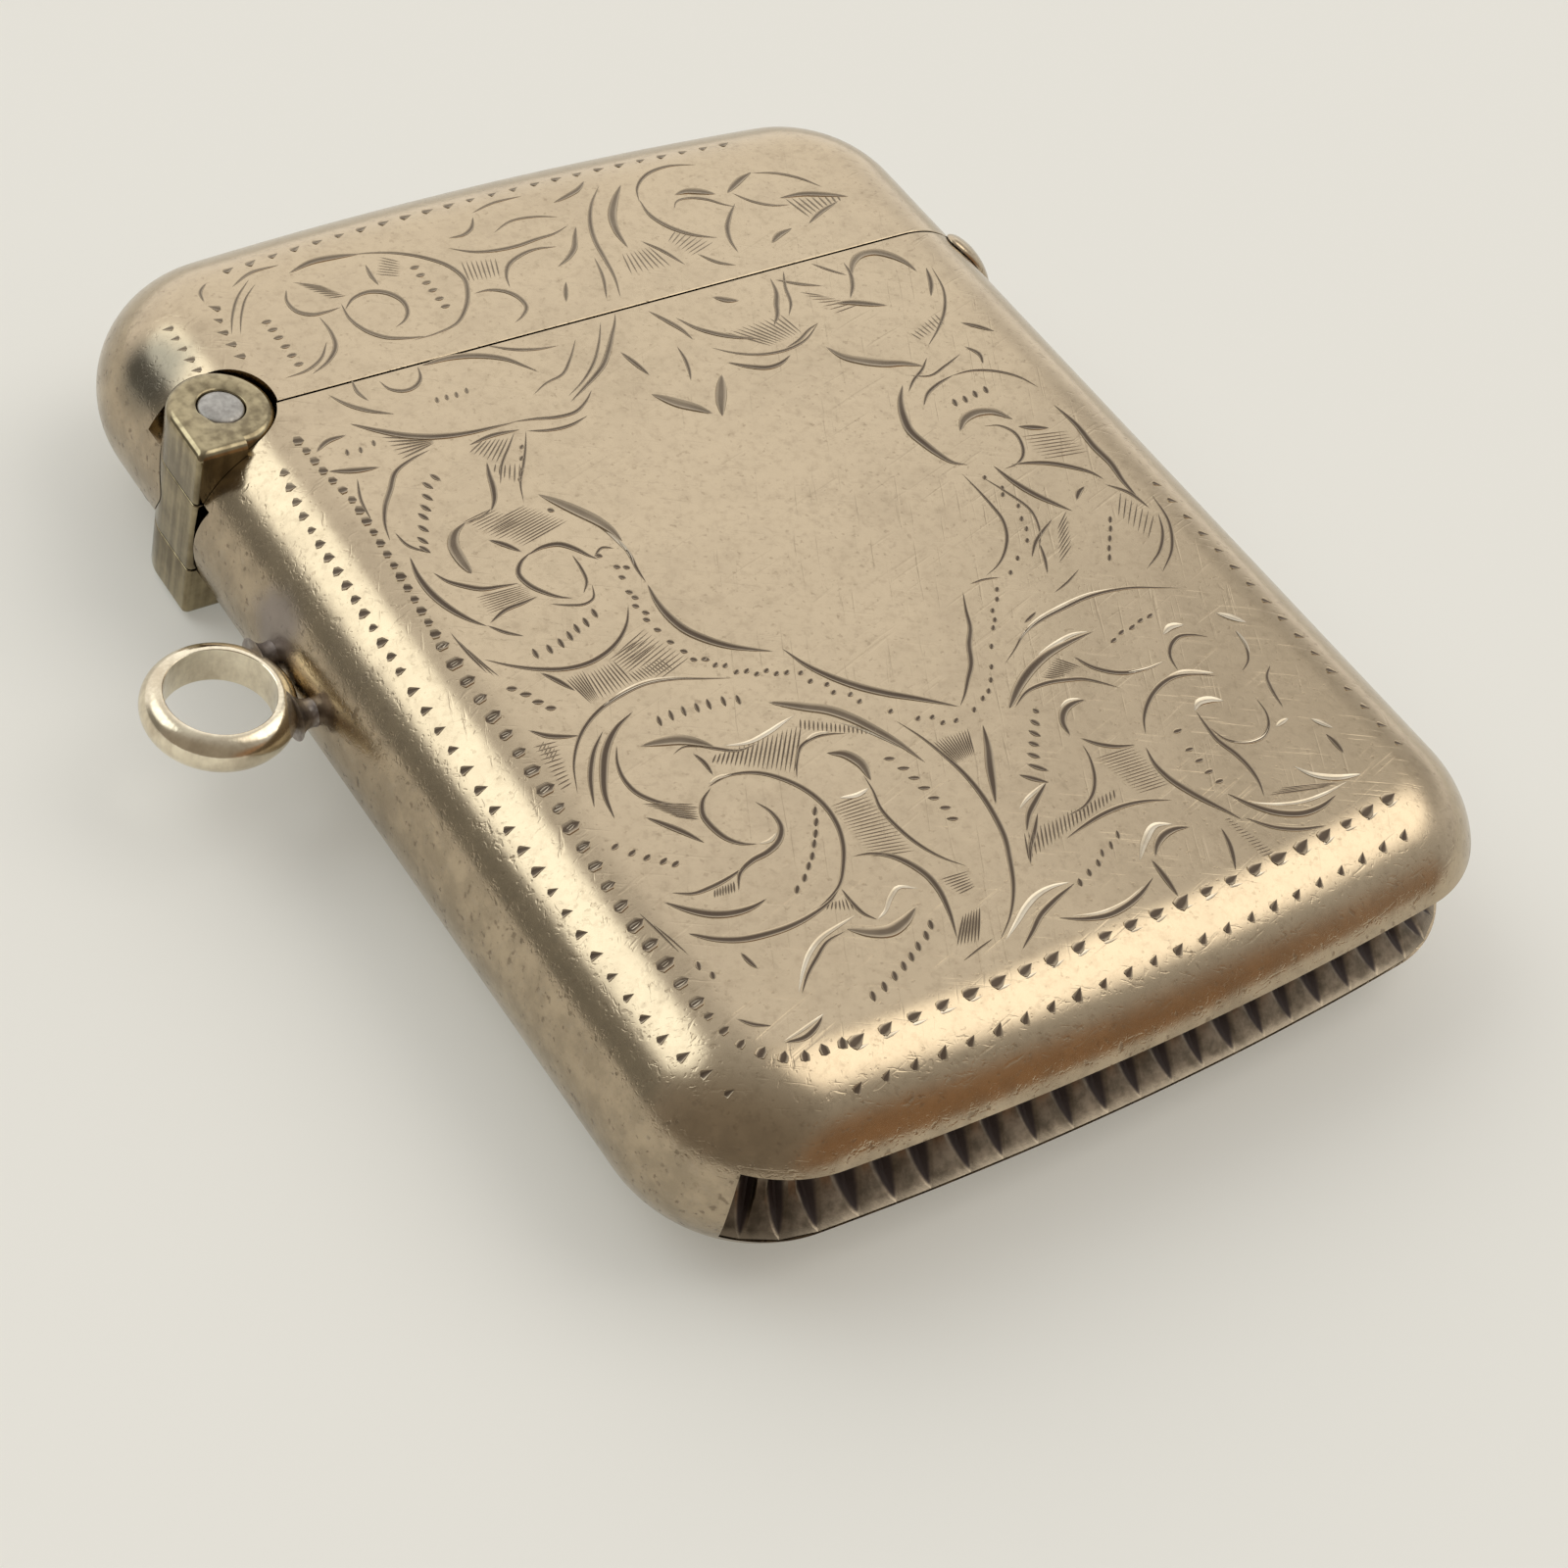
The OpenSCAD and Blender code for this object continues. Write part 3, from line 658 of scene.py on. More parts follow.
# %% Lower left scroll
lower_left = [
    (0.11, [(-13.7, -7.4), (-13.1, -6.2), (-12.2, -5.2), (-11.1, -4.55), (-10, -4.25), (-9, -4.15),
        (-8, -4.35), (-7, -4.75), (-6.1, -5.1)]),
    (0.19, [(-13.15, -8.8), (-12.9, -7.8), (-12.4, -6.9), (-11.8, -6.1), (-11, -5.45),
        (-10.1, -5.05)]),
    (0.13, [(-13.5, -8.1), (-12.9, -6.9), (-12.2, -6), (-11.5, -5.4)]),
    (0.28, [(-10.7, -6.45), (-10, -6.55), (-9.3, -6.75), (-8.8, -7.1), (-8.4, -7.5)]),
    (0.09, [(-9.9, -7.2), (-9.4, -7.05), (-8.9, -7.2), (-8.4, -7.55), (-7.8, -7.9), (-7, -7.9)]),
    (0.12, [(-11.4, -6.1), (-11.8, -6.8), (-11.97, -7.5), (-11.9, -8.1), (-11.5, -8.7),
        (-11, -9.1), (-10.3, -9.5)]),
    (0.11, [(-9.25, -7.4), (-9.12, -7.9), (-9.15, -8.5)]),
    (0.13, [(-9.6, -8.85), (-8.7, -8.7), (-7.7, -9), (-7.08, -9.56), (-6.67, -10.2),
        (-6.46, -10.9), (-6.5, -11.85), (-6.77, -12.6), (-7.3, -13.4), (-7.9, -14.04),
        (-8.75, -14.46), (-10, -14.77)], 0.8),
    (0.15, [(-9.5, -8.9), (-10.1, -9.3), (-10.4, -9.8), (-10.4, -10.4), (-10.2, -11),
        (-9.85, -11.35), (-9.4, -11.55)]),
    (0.16, [(-8.5, -10), (-8.25, -10.6), (-8.3, -11.25), (-8.7, -11.7), (-9.3, -11.95),
        (-10, -12.05), (-10.6, -12.3), (-11.1, -12.95)]),
    (0.15, [(-12.2, -9.1), (-11.8, -9.6), (-11.35, -10.2), (-11, -10.8)]),
    (0.12, [(-13.1, -12.1), (-12.5, -12.4), (-11.8, -12.42), (-10.9, -12.3), (-10.3, -12.15)]),
    (0.2, [(-13.55, -12.3), (-13, -12.9), (-12.4, -13.35), (-11.7, -13.6), (-11, -13.65),
        (-10.4, -13.55)]),
    (0.17, [(-13.5, -13.7), (-12.9, -14.2), (-12.2, -14.55), (-11.2, -14.75), (-10.4, -14.8),
        (-9.4, -14.7), (-8.5, -14.45), (-7.9, -14.1)], 0.7),
    (0.06, [(-14.45, -12.3), (-14.3, -13.2), (-14.15, -14.2)]),
    (0.05, [(-14.3, -12.9), (-14.1, -13.7), (-13.95, -14.4)]),
    (0.12, [(-12.4, -15), (-12.35, -15.4), (-12.25, -15.8)]),
    (0.1, [(-11.55, -17.2), (-10.9, -16.6), (-10.3, -16.2), (-9.6, -15.8), (-8.8, -15.7)]),
    (0.3, [(-8.75, -15.65), (-8.1, -16.1), (-7.5, -16.3), (-6.9, -16.2), (-6.1, -15.85)]),
    (0.1, [(-7.95, -14.2), (-7.95, -14.9), (-7.85, -15.4), (-7.6, -15.75)]),
    (0.16, [(-6.85, -13.25), (-6.2, -13.4), (-5.6, -13.8), (-5.2, -14.4), (-5, -15), (-5, -15.6),
        (-5.2, -16.4), (-5.65, -17.5)]),
    (0.1, [(-4.45, -10.5), (-4.55, -11.2), (-4.75, -11.9), (-4.7, -12.9), (-4.5, -13.7),
        (-4.1, -14.5), (-3.55, -15.15)]),
    (0.09, [(-6.65, -9.75), (-6.2, -9.1), (-5.7, -8.6), (-5.1, -8.45), (-4.4, -8.55),
        (-3.9, -8.75)]),
    (0.27, [(-5.6, -6.5), (-4.6, -7.15), (-3.9, -7.6), (-3.3, -8.3), (-2.9, -9), (-2.5, -9.8),
        (-2.15, -10.9)], 0.75),
    (0.14, [(-2, -8.9), (-1.6, -9.9), (-1.35, -10.9), (-1.2, -11.8), (-1.2, -12.8), (-1.35, -13.8),
        (-1.6, -14.7), (-2, -15.5), (-2.6, -16.5), (-3.4, -17.4), (-4.4, -18.15)]),
    (0.26, [(-5.05, -9.2), (-4.5, -9.5), (-4.25, -10), (-4.35, -10.8)]),
    (0.14, [(-13.75, -4.4), (-13.3, -4.85), (-12.8, -5.1), (-12.35, -5.25)]),
    (0.1, [(-13.95, -17.1), (-13.6, -17.5), (-13.1, -17.8)]),
    (0.14, [(-13.1, -18.5), (-12.4, -18.6), (-11.8, -18.4), (-11.4, -18.15)]),
    (0.15, [(-3.95, -18.75), (-3.2, -18.3), (-2.5, -17.85), (-1.7, -17.55), (-0.6, -17.25)]),
    (0.17, [(-2, -18.2), (-1.2, -18.6), (-0.4, -18.8), (0.4, -18.75), (1.2, -18.55),
        (2.1, -18.15)]),
    (0.06, [(-6, -18.3), (-5.2, -18.1), (-4.5, -17.95)]),
    *nicks(0.1, 0.5, 75, (-9.5, -5.75), (-9, -5.7), (-8.5, -5.7), (-8, -5.75), (-7.55, -5.78),
        (-7, -5.85), (-6.5, -6)),
    *nicks(0.11, 0.42, 50, (-6.88, -11.15), (-7.1, -11.55), (-7.4, -11.95), (-7.7, -12.3),
        (-8.05, -12.7), (-8.4, -13), (-8.8, -13.35), (-9.3, -13.65)),
    *nicks(0.12, 0.4, 20, (-13.75, -9.75), (-13.4, -10.2), (-13.05, -10.55), (-12.65, -10.9),
        (-12.35, -11.15)),
    *nicks(0.12, 0.45, 70, (-9.5, -18.2), (-8.95, -18.05), (-8.4, -17.85), (-7.9, -17.65),
        (-7.45, -17.45), (-7, -17.2), (-6.5, -16.95), (-6.1, -16.65)),
    *nicks(0.11, 0.45, -20, (-3.2, -10.25), (-3, -10.8), (-2.9, -11.3), (-2.85, -11.8),
        (-2.8, -12.3), (-2.7, -12.8), (-2.75, -13.3)),
    *nicks(0.11, 0.35, 70, (-13.9, -14.9), (-13.7, -15.4), (-0.4, -17.3), (0.15, -17.1),
        (0.7, -16.9)),
    *hatch(0.06, [(-12, -8.6), (-10.4, -9.3)], [(-11.3, -9.45), (-10.6, -9.9)], 7),
    *hatch(0.05, [(-8.9, -8.05), (-8.55, -7.75)], [(-6.6, -9.5), (-5.1, -7.75)], 19),
    *hatch(0.045, [(-5.3, -8), (-5, -7.55)], [(-3.05, -9.2), (-2.85, -8.9)], 18),
    *hatch(0.035, [(-6.3, -11.2), (-4.75, -11.2)], [(-6.3, -13.5), (-4.75, -13.9)], 19),
    *hatch(0.045, [(-1.45, -10.2), (-1.2, -11.4)], [(0.15, -10.2), (-0.35, -11.3)], 14),
    *hatch(0.05, [(-11.75, -12.55), (-11.95, -12.85)], [(-11, -12.5), (-11.25, -12.95)], 8),
    *hatch(0.06, [(-5.85, -17.75), (-4.85, -16.75)], [(-5.1, -17.9), (-4.15, -16.7)], 7),
    *hatch(0.045, [(-4.75, -15.25), (-3.65, -15.35)], [(-4.55, -16), (-3.8, -15.95)], 7),
    *hatch(0.03, [(-13.9, -5.3), (-13.5, -5)], [(-13.8, -5.9), (-13.3, -5.5)], 6),
    *hatch(0.04, [(-8.9, -14.75), (-8.6, -14.5)], [(-8.1, -15.15), (-7.95, -14.6)], 7),
]
print("lower left:", len(lower_left), "cuts")

# %% [markdown]
# The scroll at the lower right answers it in the other direction. It was cut with a
# lighter hand, and its leaves meet the left one's under the shield's point.

# %% Lower right scroll
lower_right = [
    (0.21, [(0.75, -10.3), (0.3, -11.2), (-0.2, -12), (-0.6, -12.7), (-1, -13.4)]),
    (0.15, [(-0.75, -14.8), (-0.2, -14.2), (0.4, -13.8), (1.25, -13.3)]),
    (0.1, [(1, -14.8), (1.8, -14.7), (2.4, -14.4), (2.9, -13.9), (3.2, -13.4), (3.4, -12.9),
        (3.5, -12.4)]),
    (0.13, [(0.3, -15.6), (1.2, -15.4), (2.2, -15.25), (3.2, -15.25), (4, -15.4), (4.9, -15.75)]),
    (0.19, [(3.35, -11.95), (3.5, -11.3), (3.9, -10.9), (4.5, -10.75), (4.95, -10.8)]),
    (0.13, [(3.6, -12.15), (4, -12.6), (4.5, -12.95), (5.25, -13.2)]),
    (0.11, [(3.2, -8.3), (4, -7.85), (4.8, -7.35), (5.8, -7.05), (6.9, -6.9), (8, -6.8),
        (9, -6.85), (10, -7.05), (11, -7.45), (11.8, -7.8)]),
    (0.24, [(2.1, -10.05), (3.2, -9.25), (4.2, -8.75), (5, -8.5), (6, -8.35), (7.3, -8.25)], 0.7),
    (0.13, [(2.3, -10.1), (3.2, -9.65), (4, -9.6), (4.8, -9.75), (5.5, -10), (6, -10.4),
        (6.45, -10.85)]),
    (0.14, [(5.8, -8.95), (6.1, -9.6), (6.5, -10), (7, -10.3), (7.8, -10.45), (8.8, -10.45)], 0.8),
    (0.12, [(9, -11), (9.2, -10.3), (9.6, -9.9), (10.1, -9.7), (10.7, -9.85), (11.15, -10.15)]),
    (0.08, [(11.2, -12), (11.8, -11.65), (12.2, -11), (12.3, -10.3)]),
    (0.14, [(5.9, -13), (6.3, -12.4), (6.9, -11.85), (7.7, -11.4), (8.6, -11.2), (9.5, -11.4),
        (10.2, -11.8)]),
    (0.17, [(5.55, -13.4), (5.35, -14.2), (5.4, -14.9), (5.65, -15.6), (6, -16.3), (6.4, -17),
        (6.65, -17.5)]),
    (0.13, [(8.35, -12.8), (8.25, -13.5), (8.2, -14.2), (8.4, -15), (8.45, -15.7), (8.35, -16.3),
        (8.05, -17)]),
    (0.1, [(8.3, -13.6), (8.5, -14.3), (9.2, -14.75), (9.9, -14.75), (10.4, -14.45),
        (10.75, -13.9), (10.85, -13.2)]),
    (0.1, [(11.5, -14), (11.7, -13.1), (11.9, -12.6), (12.45, -12.15)]),
    (0.2, [(6.9, -16.3), (7.4, -17.1), (8, -17.7), (8.8, -18.1), (9.7, -18.15), (10.6, -17.95)]),
    (0.13, [(6.75, -17.4), (7.5, -18.2), (8.2, -18.6), (9.3, -18.9)]),
    (0.15, [(12.15, -15.6), (12.2, -16.1), (12.15, -16.6)]),
    (0.15, [(2.5, -17.5), (2.45, -18.3), (2.35, -19.2)]),
    (0.19, [(2.7, -17.5), (3.1, -17.1), (3.6, -16.85), (4.1, -16.8), (4.7, -16.95)]),
    (0.13, [(5.7, -17.4), (5.5, -18.1), (5.2, -18.7), (4.95, -19.1)]),
    (0.1, [(8.15, -3.9), (7.8, -4.7), (7.45, -5.3)]),
    (0.11, [(7.4, -4.4), (8.1, -3.75), (8.7, -3.4), (9.4, -3.05)]),
    (0.07, [(4.4, -4.6), (5, -4.6), (5.7, -4.75)]),
    (0.07, [(7.1, -6.15), (7.9, -5.9), (8.7, -5.55)]),
    (0.1, [(11.2, -6.5), (12.3, -5.9), (13, -5.2), (13.5, -4.3)]),
    (0.13, [(0.1, -14.3), (-0.5, -14.9), (-1.05, -15.4), (-1.5, -16)]),
    (0.14, [(0.55, -12.65), (1.3, -13.35)]),
    (0.14, [(1.1, -12.35), (1.65, -12.95)]),
    (0.14, [(1.4, -11.95), (1.75, -12.35)]),
    (0.14, [(1.75, -11.55), (2.05, -11.9)]),
    (0.14, [(2.1, -11.15), (2.35, -11.55)]),
    (0.14, [(2.45, -10.75), (2.65, -11.15)]),
    (0.14, [(2.85, -10.4), (2.98, -10.65)]),
    *nicks(0.11, 0.38, 20, (7.7, -8.9), (8.2, -8.7), (8.75, -8.65), (9.25, -8.5), (9.75, -8.45)),
    *nicks(0.11, 0.42, 0, (7.1, -13.3), (6.95, -14.15), (6.95, -14.7), (6.95, -15.25),
        (7, -15.75)),
    *nicks(0.1, 0.4, 50, (10.2, -5.5), (10.5, -5.1), (10.85, -4.7), (11.2, -4.3), (11.5, -3.9)),
    *nicks(0.09, 0.4, 65, (1.1, -16.6), (1.6, -16.45), (2.1, -16.2)),
    *hatch(0.035, [(3.5, -13.15), (5.2, -13.25)], [(3.9, -15), (5.3, -15.1)], 15),
    *hatch(0.05, [(-1.45, -15.85), (-0.85, -14.8)], [(3, -14.9), (3.25, -14.5)], 24),
    *hatch(0.045, [(4.1, -9.3), (4.7, -9.65)], [(5.1, -8.75), (5.75, -9.5)], 10),
    *hatch(0.035, [(6.05, -17.2), (6.3, -17.25)], [(6.15, -19), (6.8, -19.05)], 14),
    *hatch(0.06, [(8.2, -16.95), (10.6, -17.55)], [(8.9, -16.9), (11, -17.55)], 4),
]
print("lower right:", len(lower_right), "cuts")

# %% [markdown]
# At the upper left a smaller scroll hangs under the hinge, and long leaves run from
# it along the mouth.

# %% Upper left scroll
upper_left = [
    (0.12, [(-10.05, 12.1), (-9.9, 11.6), (-9.5, 11.35), (-9, 11.4), (-8.6, 11.7),
        (-8.35, 12.35)]),
    (0.12, [(-12.1, 12.1), (-11.7, 11.4), (-11.2, 10.9), (-10.4, 10.4)]),
    (0.17, [(-8.2, 12.3), (-7, 12.3), (-6.3, 12.15), (-5.6, 11.85), (-5.1, 11.5), (-4.7, 11),
        (-4.35, 10.5)], 0.8),
    (0.18, [(-12.1, 10.5), (-11.3, 9.8), (-10.6, 9.3), (-10, 9), (-9.2, 8.75), (-8.3, 8.6),
        (-7.4, 8.55), (-6.5, 8.5)], 0.8),
    (0.11, [(-6.7, 8.55), (-5.8, 8.4), (-5, 8.2), (-4.2, 8.2), (-3.6, 8.5), (-3, 9)]),
    (0.14, [(-4.1, 8.7), (-3.2, 9.2), (-2.5, 9.6), (-1.9, 10), (-1.3, 10.6), (-0.7, 11.3),
        (-0.2, 11.9), (0.1, 12.35)]),
    (0.08, [(-5.2, 9.5), (-4.4, 9.9), (-3.6, 10.1), (-2.9, 10.7), (-2.1, 11.6)]),
    (0.11, [(-6.4, 7.95), (-5.6, 7.7), (-4.8, 7.65), (-3.9, 7.85)]),
    (0.13, [(-8.7, 8.05), (-7.7, 8.2), (-6.6, 8.1)]),
    (0.15, [(-13.9, 9.65), (-13.3, 10), (-12.5, 10.05)]),
    (0.17, [(-13.95, 8.65), (-13.2, 8.4), (-12.2, 8.2)]),
    (0.13, [(-10.1, 8.35), (-11, 8.15), (-11.8, 7.8), (-12.4, 7.1), (-13, 6.4), (-13.4, 5.7),
        (-13.65, 4.9)]),
    (0.19, [(-13.4, 4), (-13.6, 3), (-13.55, 2), (-13.3, 1.2), (-12.9, 0.5), (-12.6, 0.15)]),
    (0.28, [(-11.85, 2.5), (-11.85, 3.3), (-11.75, 3.9), (-11.4, 4.4), (-10.75, 4.75)], 0.7),
    (0.14, [(-13.05, 3.05), (-12.8, 2.5), (-12.4, 2.1), (-11.9, 1.75), (-11.2, 1.6),
        (-10.6, 1.5)]),
    (0.12, [(-12.45, 0.25), (-11.6, 0.6), (-10.9, 0.65), (-10.3, 0.72)]),
    (0.15, [(-9.7, 4.85), (-9.3, 5.3), (-9, 5.9), (-8.8, 6.5), (-8.55, 7.1)]),
    (0.07, [(-8.4, 4.8), (-8, 5.7), (-7.4, 6.5), (-6.9, 7.2), (-6.4, 8)]),
    (0.07, [(-8.7, 5.9), (-8.1, 6.8), (-7.4, 7.5), (-6.85, 8.05)]),
    (0.14, [(-10.5, 3.7), (-10.1, 3.3), (-9.7, 2.75)]),
    (0.15, [(-9.6, 2.55), (-8.9, 2.7), (-8.3, 2.6), (-7.9, 2.2), (-7.6, 1.7), (-7.4, 1.45)]),
    (0.14, [(-9.4, 2.65), (-10.05, 2.3), (-10.35, 1.9), (-10.3, 1.3), (-10, 0.8), (-9.6, 0.4),
        (-9.25, 0.2)]),
    (0.09, [(-8.15, 2), (-8.2, 1.3), (-8.35, 0.7), (-8.75, 0.25)]),
    (0.08, [(-10.1, 0.25), (-9.5, -0.05), (-9, -0.2), (-8.6, -0.1), (-8.25, 0.5)]),
    (0.14, [(-13.5, -1.1), (-12.8, -1.7), (-12, -2.2), (-11.25, -2.5), (-10.4, -2.6),
        (-9.6, -2.45), (-8.75, -2.05), (-8.1, -1.5), (-7.6, -0.8)]),
    (0.13, [(-12.05, -2.35), (-11.7, -2.9), (-11.4, -3.5)]),
    (0.06, [(-13.9, 0.4), (-13.85, -0.6), (-13.7, -1.7)]),
    (0.05, [(-13.75, -0.5), (-13.6, -1.3), (-13.4, -2)]),
    (0.05, [(-13.85, 0), (-13.72, -1), (-13.55, -1.9)]),
    (0.1, [(-10.95, 12.5), (-11.05, 11.8), (-10.9, 11.3)]),
    (0.1, [(-5.4, 12.4), (-4.6, 11.9), (-3.7, 11.6), (-2.9, 11.5)]),
    (0.08, [(-4, 9), (-3.1, 9.5), (-2.2, 10.2), (-1.4, 11.1), (-0.7, 12.1)]),
    (0.08, [(-13.2, 8), (-13.6, 7), (-13.75, 6)]),
    (0.09, [(-12.6, 0.2), (-12.2, -0.3), (-11.7, -0.7)]),
    (0.08, [(-12.7, 3.9), (-13.2, 4.5), (-13.3, 5.2)]),
    (0.08, [(-10.8, 4.7), (-10, 4.8), (-9.6, 5)]),
    (0.08, [(-7.5, 1.6), (-6.95, 1.9), (-6.6, 1.7)]),
    *hatch(0.04, [(-10.3, 4.3), (-8.4, 4.7)], [(-9.6, 3), (-7.4, 3.5)], 13),
    *hatch(0.04, [(-10.6, -2.95), (-10.7, -4.2)], [(-9.5, -2.8), (-9.4, -4)], 9),
    *hatch(0.035, [(-9.2, -2.6), (-7.7, -2)], [(-8.6, -4.2), (-7, -3.7)], 12),
    *hatch(0.045, [(-8.9, 7.7), (-8.1, 8.1)], [(-8.3, 6.9), (-7.2, 7.9)], 7),
    *hatch(0.04, [(-14, -5.1), (-13.1, -5.2)], [(-14.1, -7), (-13.6, -6.9)], 11),
    *nicks(0.09, 0.3, 40, (-7, 7.3), (-7.3, 6.8), (-7.6, 6.3), (-7.9, 5.9)),
    *nicks(0.11, 0.5, 115, (-10.65, 7.05), (-11.1, 6.8), (-11.4, 6.3), (-11.72, 5.85), (-12, 5.5),
        (-12.3, 5), (-12.6, 4.5), (-12.75, 4.1)),
    *nicks(0.11, 0.5, 85, (-11.75, -1.55), (-11.2, -1.55), (-10.7, -1.45), (-10.25, -1.3),
        (-9.85, -1.1), (-9.4, -0.95), (-8.9, -0.7)),
    *nicks(0.13, 0.42, -20, (-13.3, -2.6), (-13, -3), (-12.8, -3.45), (-12.55, -3.85)),
    *nicks(0.09, 0.35, 70, (-12.9, 9.25), (-12.4, 9.2), (-11.8, 9.35), (-8.6, 10.5), (-8.2, 10.5),
        (-7.8, 10.5), (-7.35, 10.55)),
    *hatch(0.06, [(-9.7, 8.8), (-11.4, 9.5)], [(-9.8, 8.6), (-11.3, 8.3)], 6),
    *hatch(0.035, [(-12.3, 1.45), (-10.5, 1.35)], [(-12.3, 0.65), (-10.4, 0.8)], 8),
    *hatch(0.035, [(-10.9, 4.75), (-9.5, 5)], [(-10.2, 3.6), (-8.9, 3.9)], 10),
    *hatch(0.04, [(-8.6, 6.5), (-8.3, 6.9)], [(-8.1, 5.6), (-7.5, 6.6)], 6),
    *hatch(0.04, [(-11.4, -2.9), (-11.2, -4.2)], [(-10.7, -2.8), (-10.85, -4.1)], 7),
    *hatch(0.04, [(-9.6, -2.75), (-8, -2.3)], [(-9.4, -3.5), (-7.7, -2.9)], 7),
    *hatch(0.035, [(-9.3, -3.5), (-9.2, -4)], [(-8, -3.3), (-7.8, -4)], 11),
]
print("upper left:", len(upper_left), "cuts")

# %% [markdown]
# The upper right mirrors it more loosely, since an engraver draws each side afresh.

# %% Upper right scroll
upper_right = [
    (0.16, [(2.6, 8.5), (3.3, 8), (4, 7.7), (4.6, 7.75), (5.2, 8)]),
    (0.09, [(5, 8.3), (6, 8.6), (6.8, 9), (7.3, 9.15)]),
    (0.28, [(6.75, 7.9), (7.05, 7.2), (7.6, 6.75), (8.4, 6.3), (9.1, 6.05), (9.8, 5.6)]),
    (0.28, [(8.9, 2.1), (9.5, 2.6), (10.15, 2.75), (10.8, 2.55), (11.3, 1.9)]),
    (0.11, [(8.4, 3.75), (9, 4.3), (9.7, 4.6), (10.6, 4.8)]),
    (0.1, [(10, 2), (10.6, 1.8), (10.9, 1.3), (10.8, 0.7), (10.4, 0.1), (9.9, -0.15),
        (9.3, -0.2)]),
    (0.18, [(11.25, 1.5), (11.8, 1.25), (12.35, 1)]),
    (0.18, [(9, 0.1), (9.2, -0.85), (9.6, -1.8), (10.05, -2.5), (10.4, -3)]),
    (0.16, [(9.7, -0.1), (10.5, -0.3), (11.2, -0.6), (11.9, -1.1), (12.4, -1.6), (12.65, -2.1)]),
    (0.2, [(13.35, 2), (13.5, 0.8), (13.4, -0.5), (13.45, -1.5), (13.3, -2.4), (13.25, -3.5)]),
    (0.19, [(8.5, 9.9), (9.2, 9.7), (10, 9.3), (10.5, 9.05)]),
    (0.24, [(10.15, 11), (10.6, 11.6), (11.2, 11.95), (11.9, 11.9), (12.4, 11.5), (12.75, 10.9),
        (12.85, 10.3)]),
    (0.12, [(9.3, 9.9), (9.9, 10.6), (10.2, 11.2), (10.3, 11.8)]),
    (0.14, [(13.35, 10.4), (13, 9.6), (12.5, 8.9)]),
    (0.14, [(6.95, 12), (6.7, 11.2), (6.3, 10.6), (6, 10.1), (5.5, 9.6)]),
    (0.14, [(2.15, 11.3), (2.6, 10.5), (3, 10.1), (3.7, 9.6), (4.6, 9.15)]),
    (0.17, [(4.15, 11.85), (4.6, 11.5), (5.05, 11.3)]),
    (0.1, [(7.1, 11.85), (7.9, 11.3), (8.7, 10.9)]),
    (0.13, [(1.35, 12), (1.7, 11.3), (2, 10.6), (2.1, 10)]),
    (0.1, [(1.3, 9.9), (1.2, 9.2), (1, 8.6), (0.75, 8.1)]),
    (0.14, [(-0.9, 10.4), (-0.7, 9.6), (-0.55, 8.9)]),
    (0.12, [(12, 6), (12.3, 5.4), (12.1, 4.9)]),
    (0.14, [(10.9, -2.6), (11.3, -2.25), (11.7, -2.1)]),
    (0.09, [(13.6, 10.4), (13.2, 9), (12.5, 8), (11.6, 7.2), (10.6, 6.5)]),
    (0.09, [(10.4, 4.78), (11.4, 4.75), (12.3, 4.4), (13, 3.8), (13.4, 3)]),
    (0.14, [(12.7, 7.2), (13.2, 6.8), (13.7, 6.3)]),
    (0.1, [(11.6, -6.9), (12.8, -6), (13.6, -4.8), (13.9, -3.4)]),
    (0.1, [(5.1, -6.95), (5.5, -6.8), (5.9, -6.65)]),
    (0.08, [(8.9, 5.4), (9.6, 5.1), (10.6, 5.35), (11.6, 5.7)]),
    (0.08, [(8.2, -0.2), (8.6, -1.2), (8.9, -2.4), (8.6, -3.3), (7.9, -4.2)]),
    (0.1, [(2.5, 9.4), (3.1, 8.9), (4, 8.45), (5.2, 8.3), (6.2, 8.5), (7.2, 9.1)]),
    (0.1, [(7.7, 12.2), (7.2, 11.3), (6.9, 10.5), (6.4, 9.9)]),
    (0.08, [(9, 12.2), (9.5, 11.6), (10, 11.1)]),
    (0.09, [(8.3, 4.6), (8.9, 5.1), (9.6, 5.5), (10.2, 6)]),
    (0.1, [(12.5, -2.3), (13.1, -3), (13.35, -4)]),
    *hatch(0.045, [(3.5, 9.95), (4.8, 8.65)], [(6.1, 10.1), (6.3, 8.9)], 11),
    *hatch(0.04, [(11, 1), (12.9, 0.6)], [(11.1, -0.3), (13, -0.6)], 8),
    *hatch(0.04, [(7.6, 10.9), (8.4, 10.4)], [(8.2, 9.4), (9.4, 9.5)], 7),
    *hatch(0.04, [(9.2, -3.6), (10.2, -2.9)], [(8.2, -5), (9.3, -4.4)], 8),
    *hatch(0.04, [(11.9, -3.9), (12.8, -2.9)], [(12.2, -5.3), (13.3, -4.3)], 7),
    *nicks(0.12, 0.45, 75, (9.7, 3.5), (10.2, 3.5), (10.75, 3.6), (11.3, 3.65)),
    *hatch(0.04, [(10.4, 7.4), (10.6, 6.9)], [(12, 8), (12, 7.3)], 8),
]
print("upper right:", len(upper_right), "cuts")

# %% [markdown]
# The shield in the middle stays bare. A heavy cut outlines it, and a band of small
# punched pits follows the cut on its outer side.

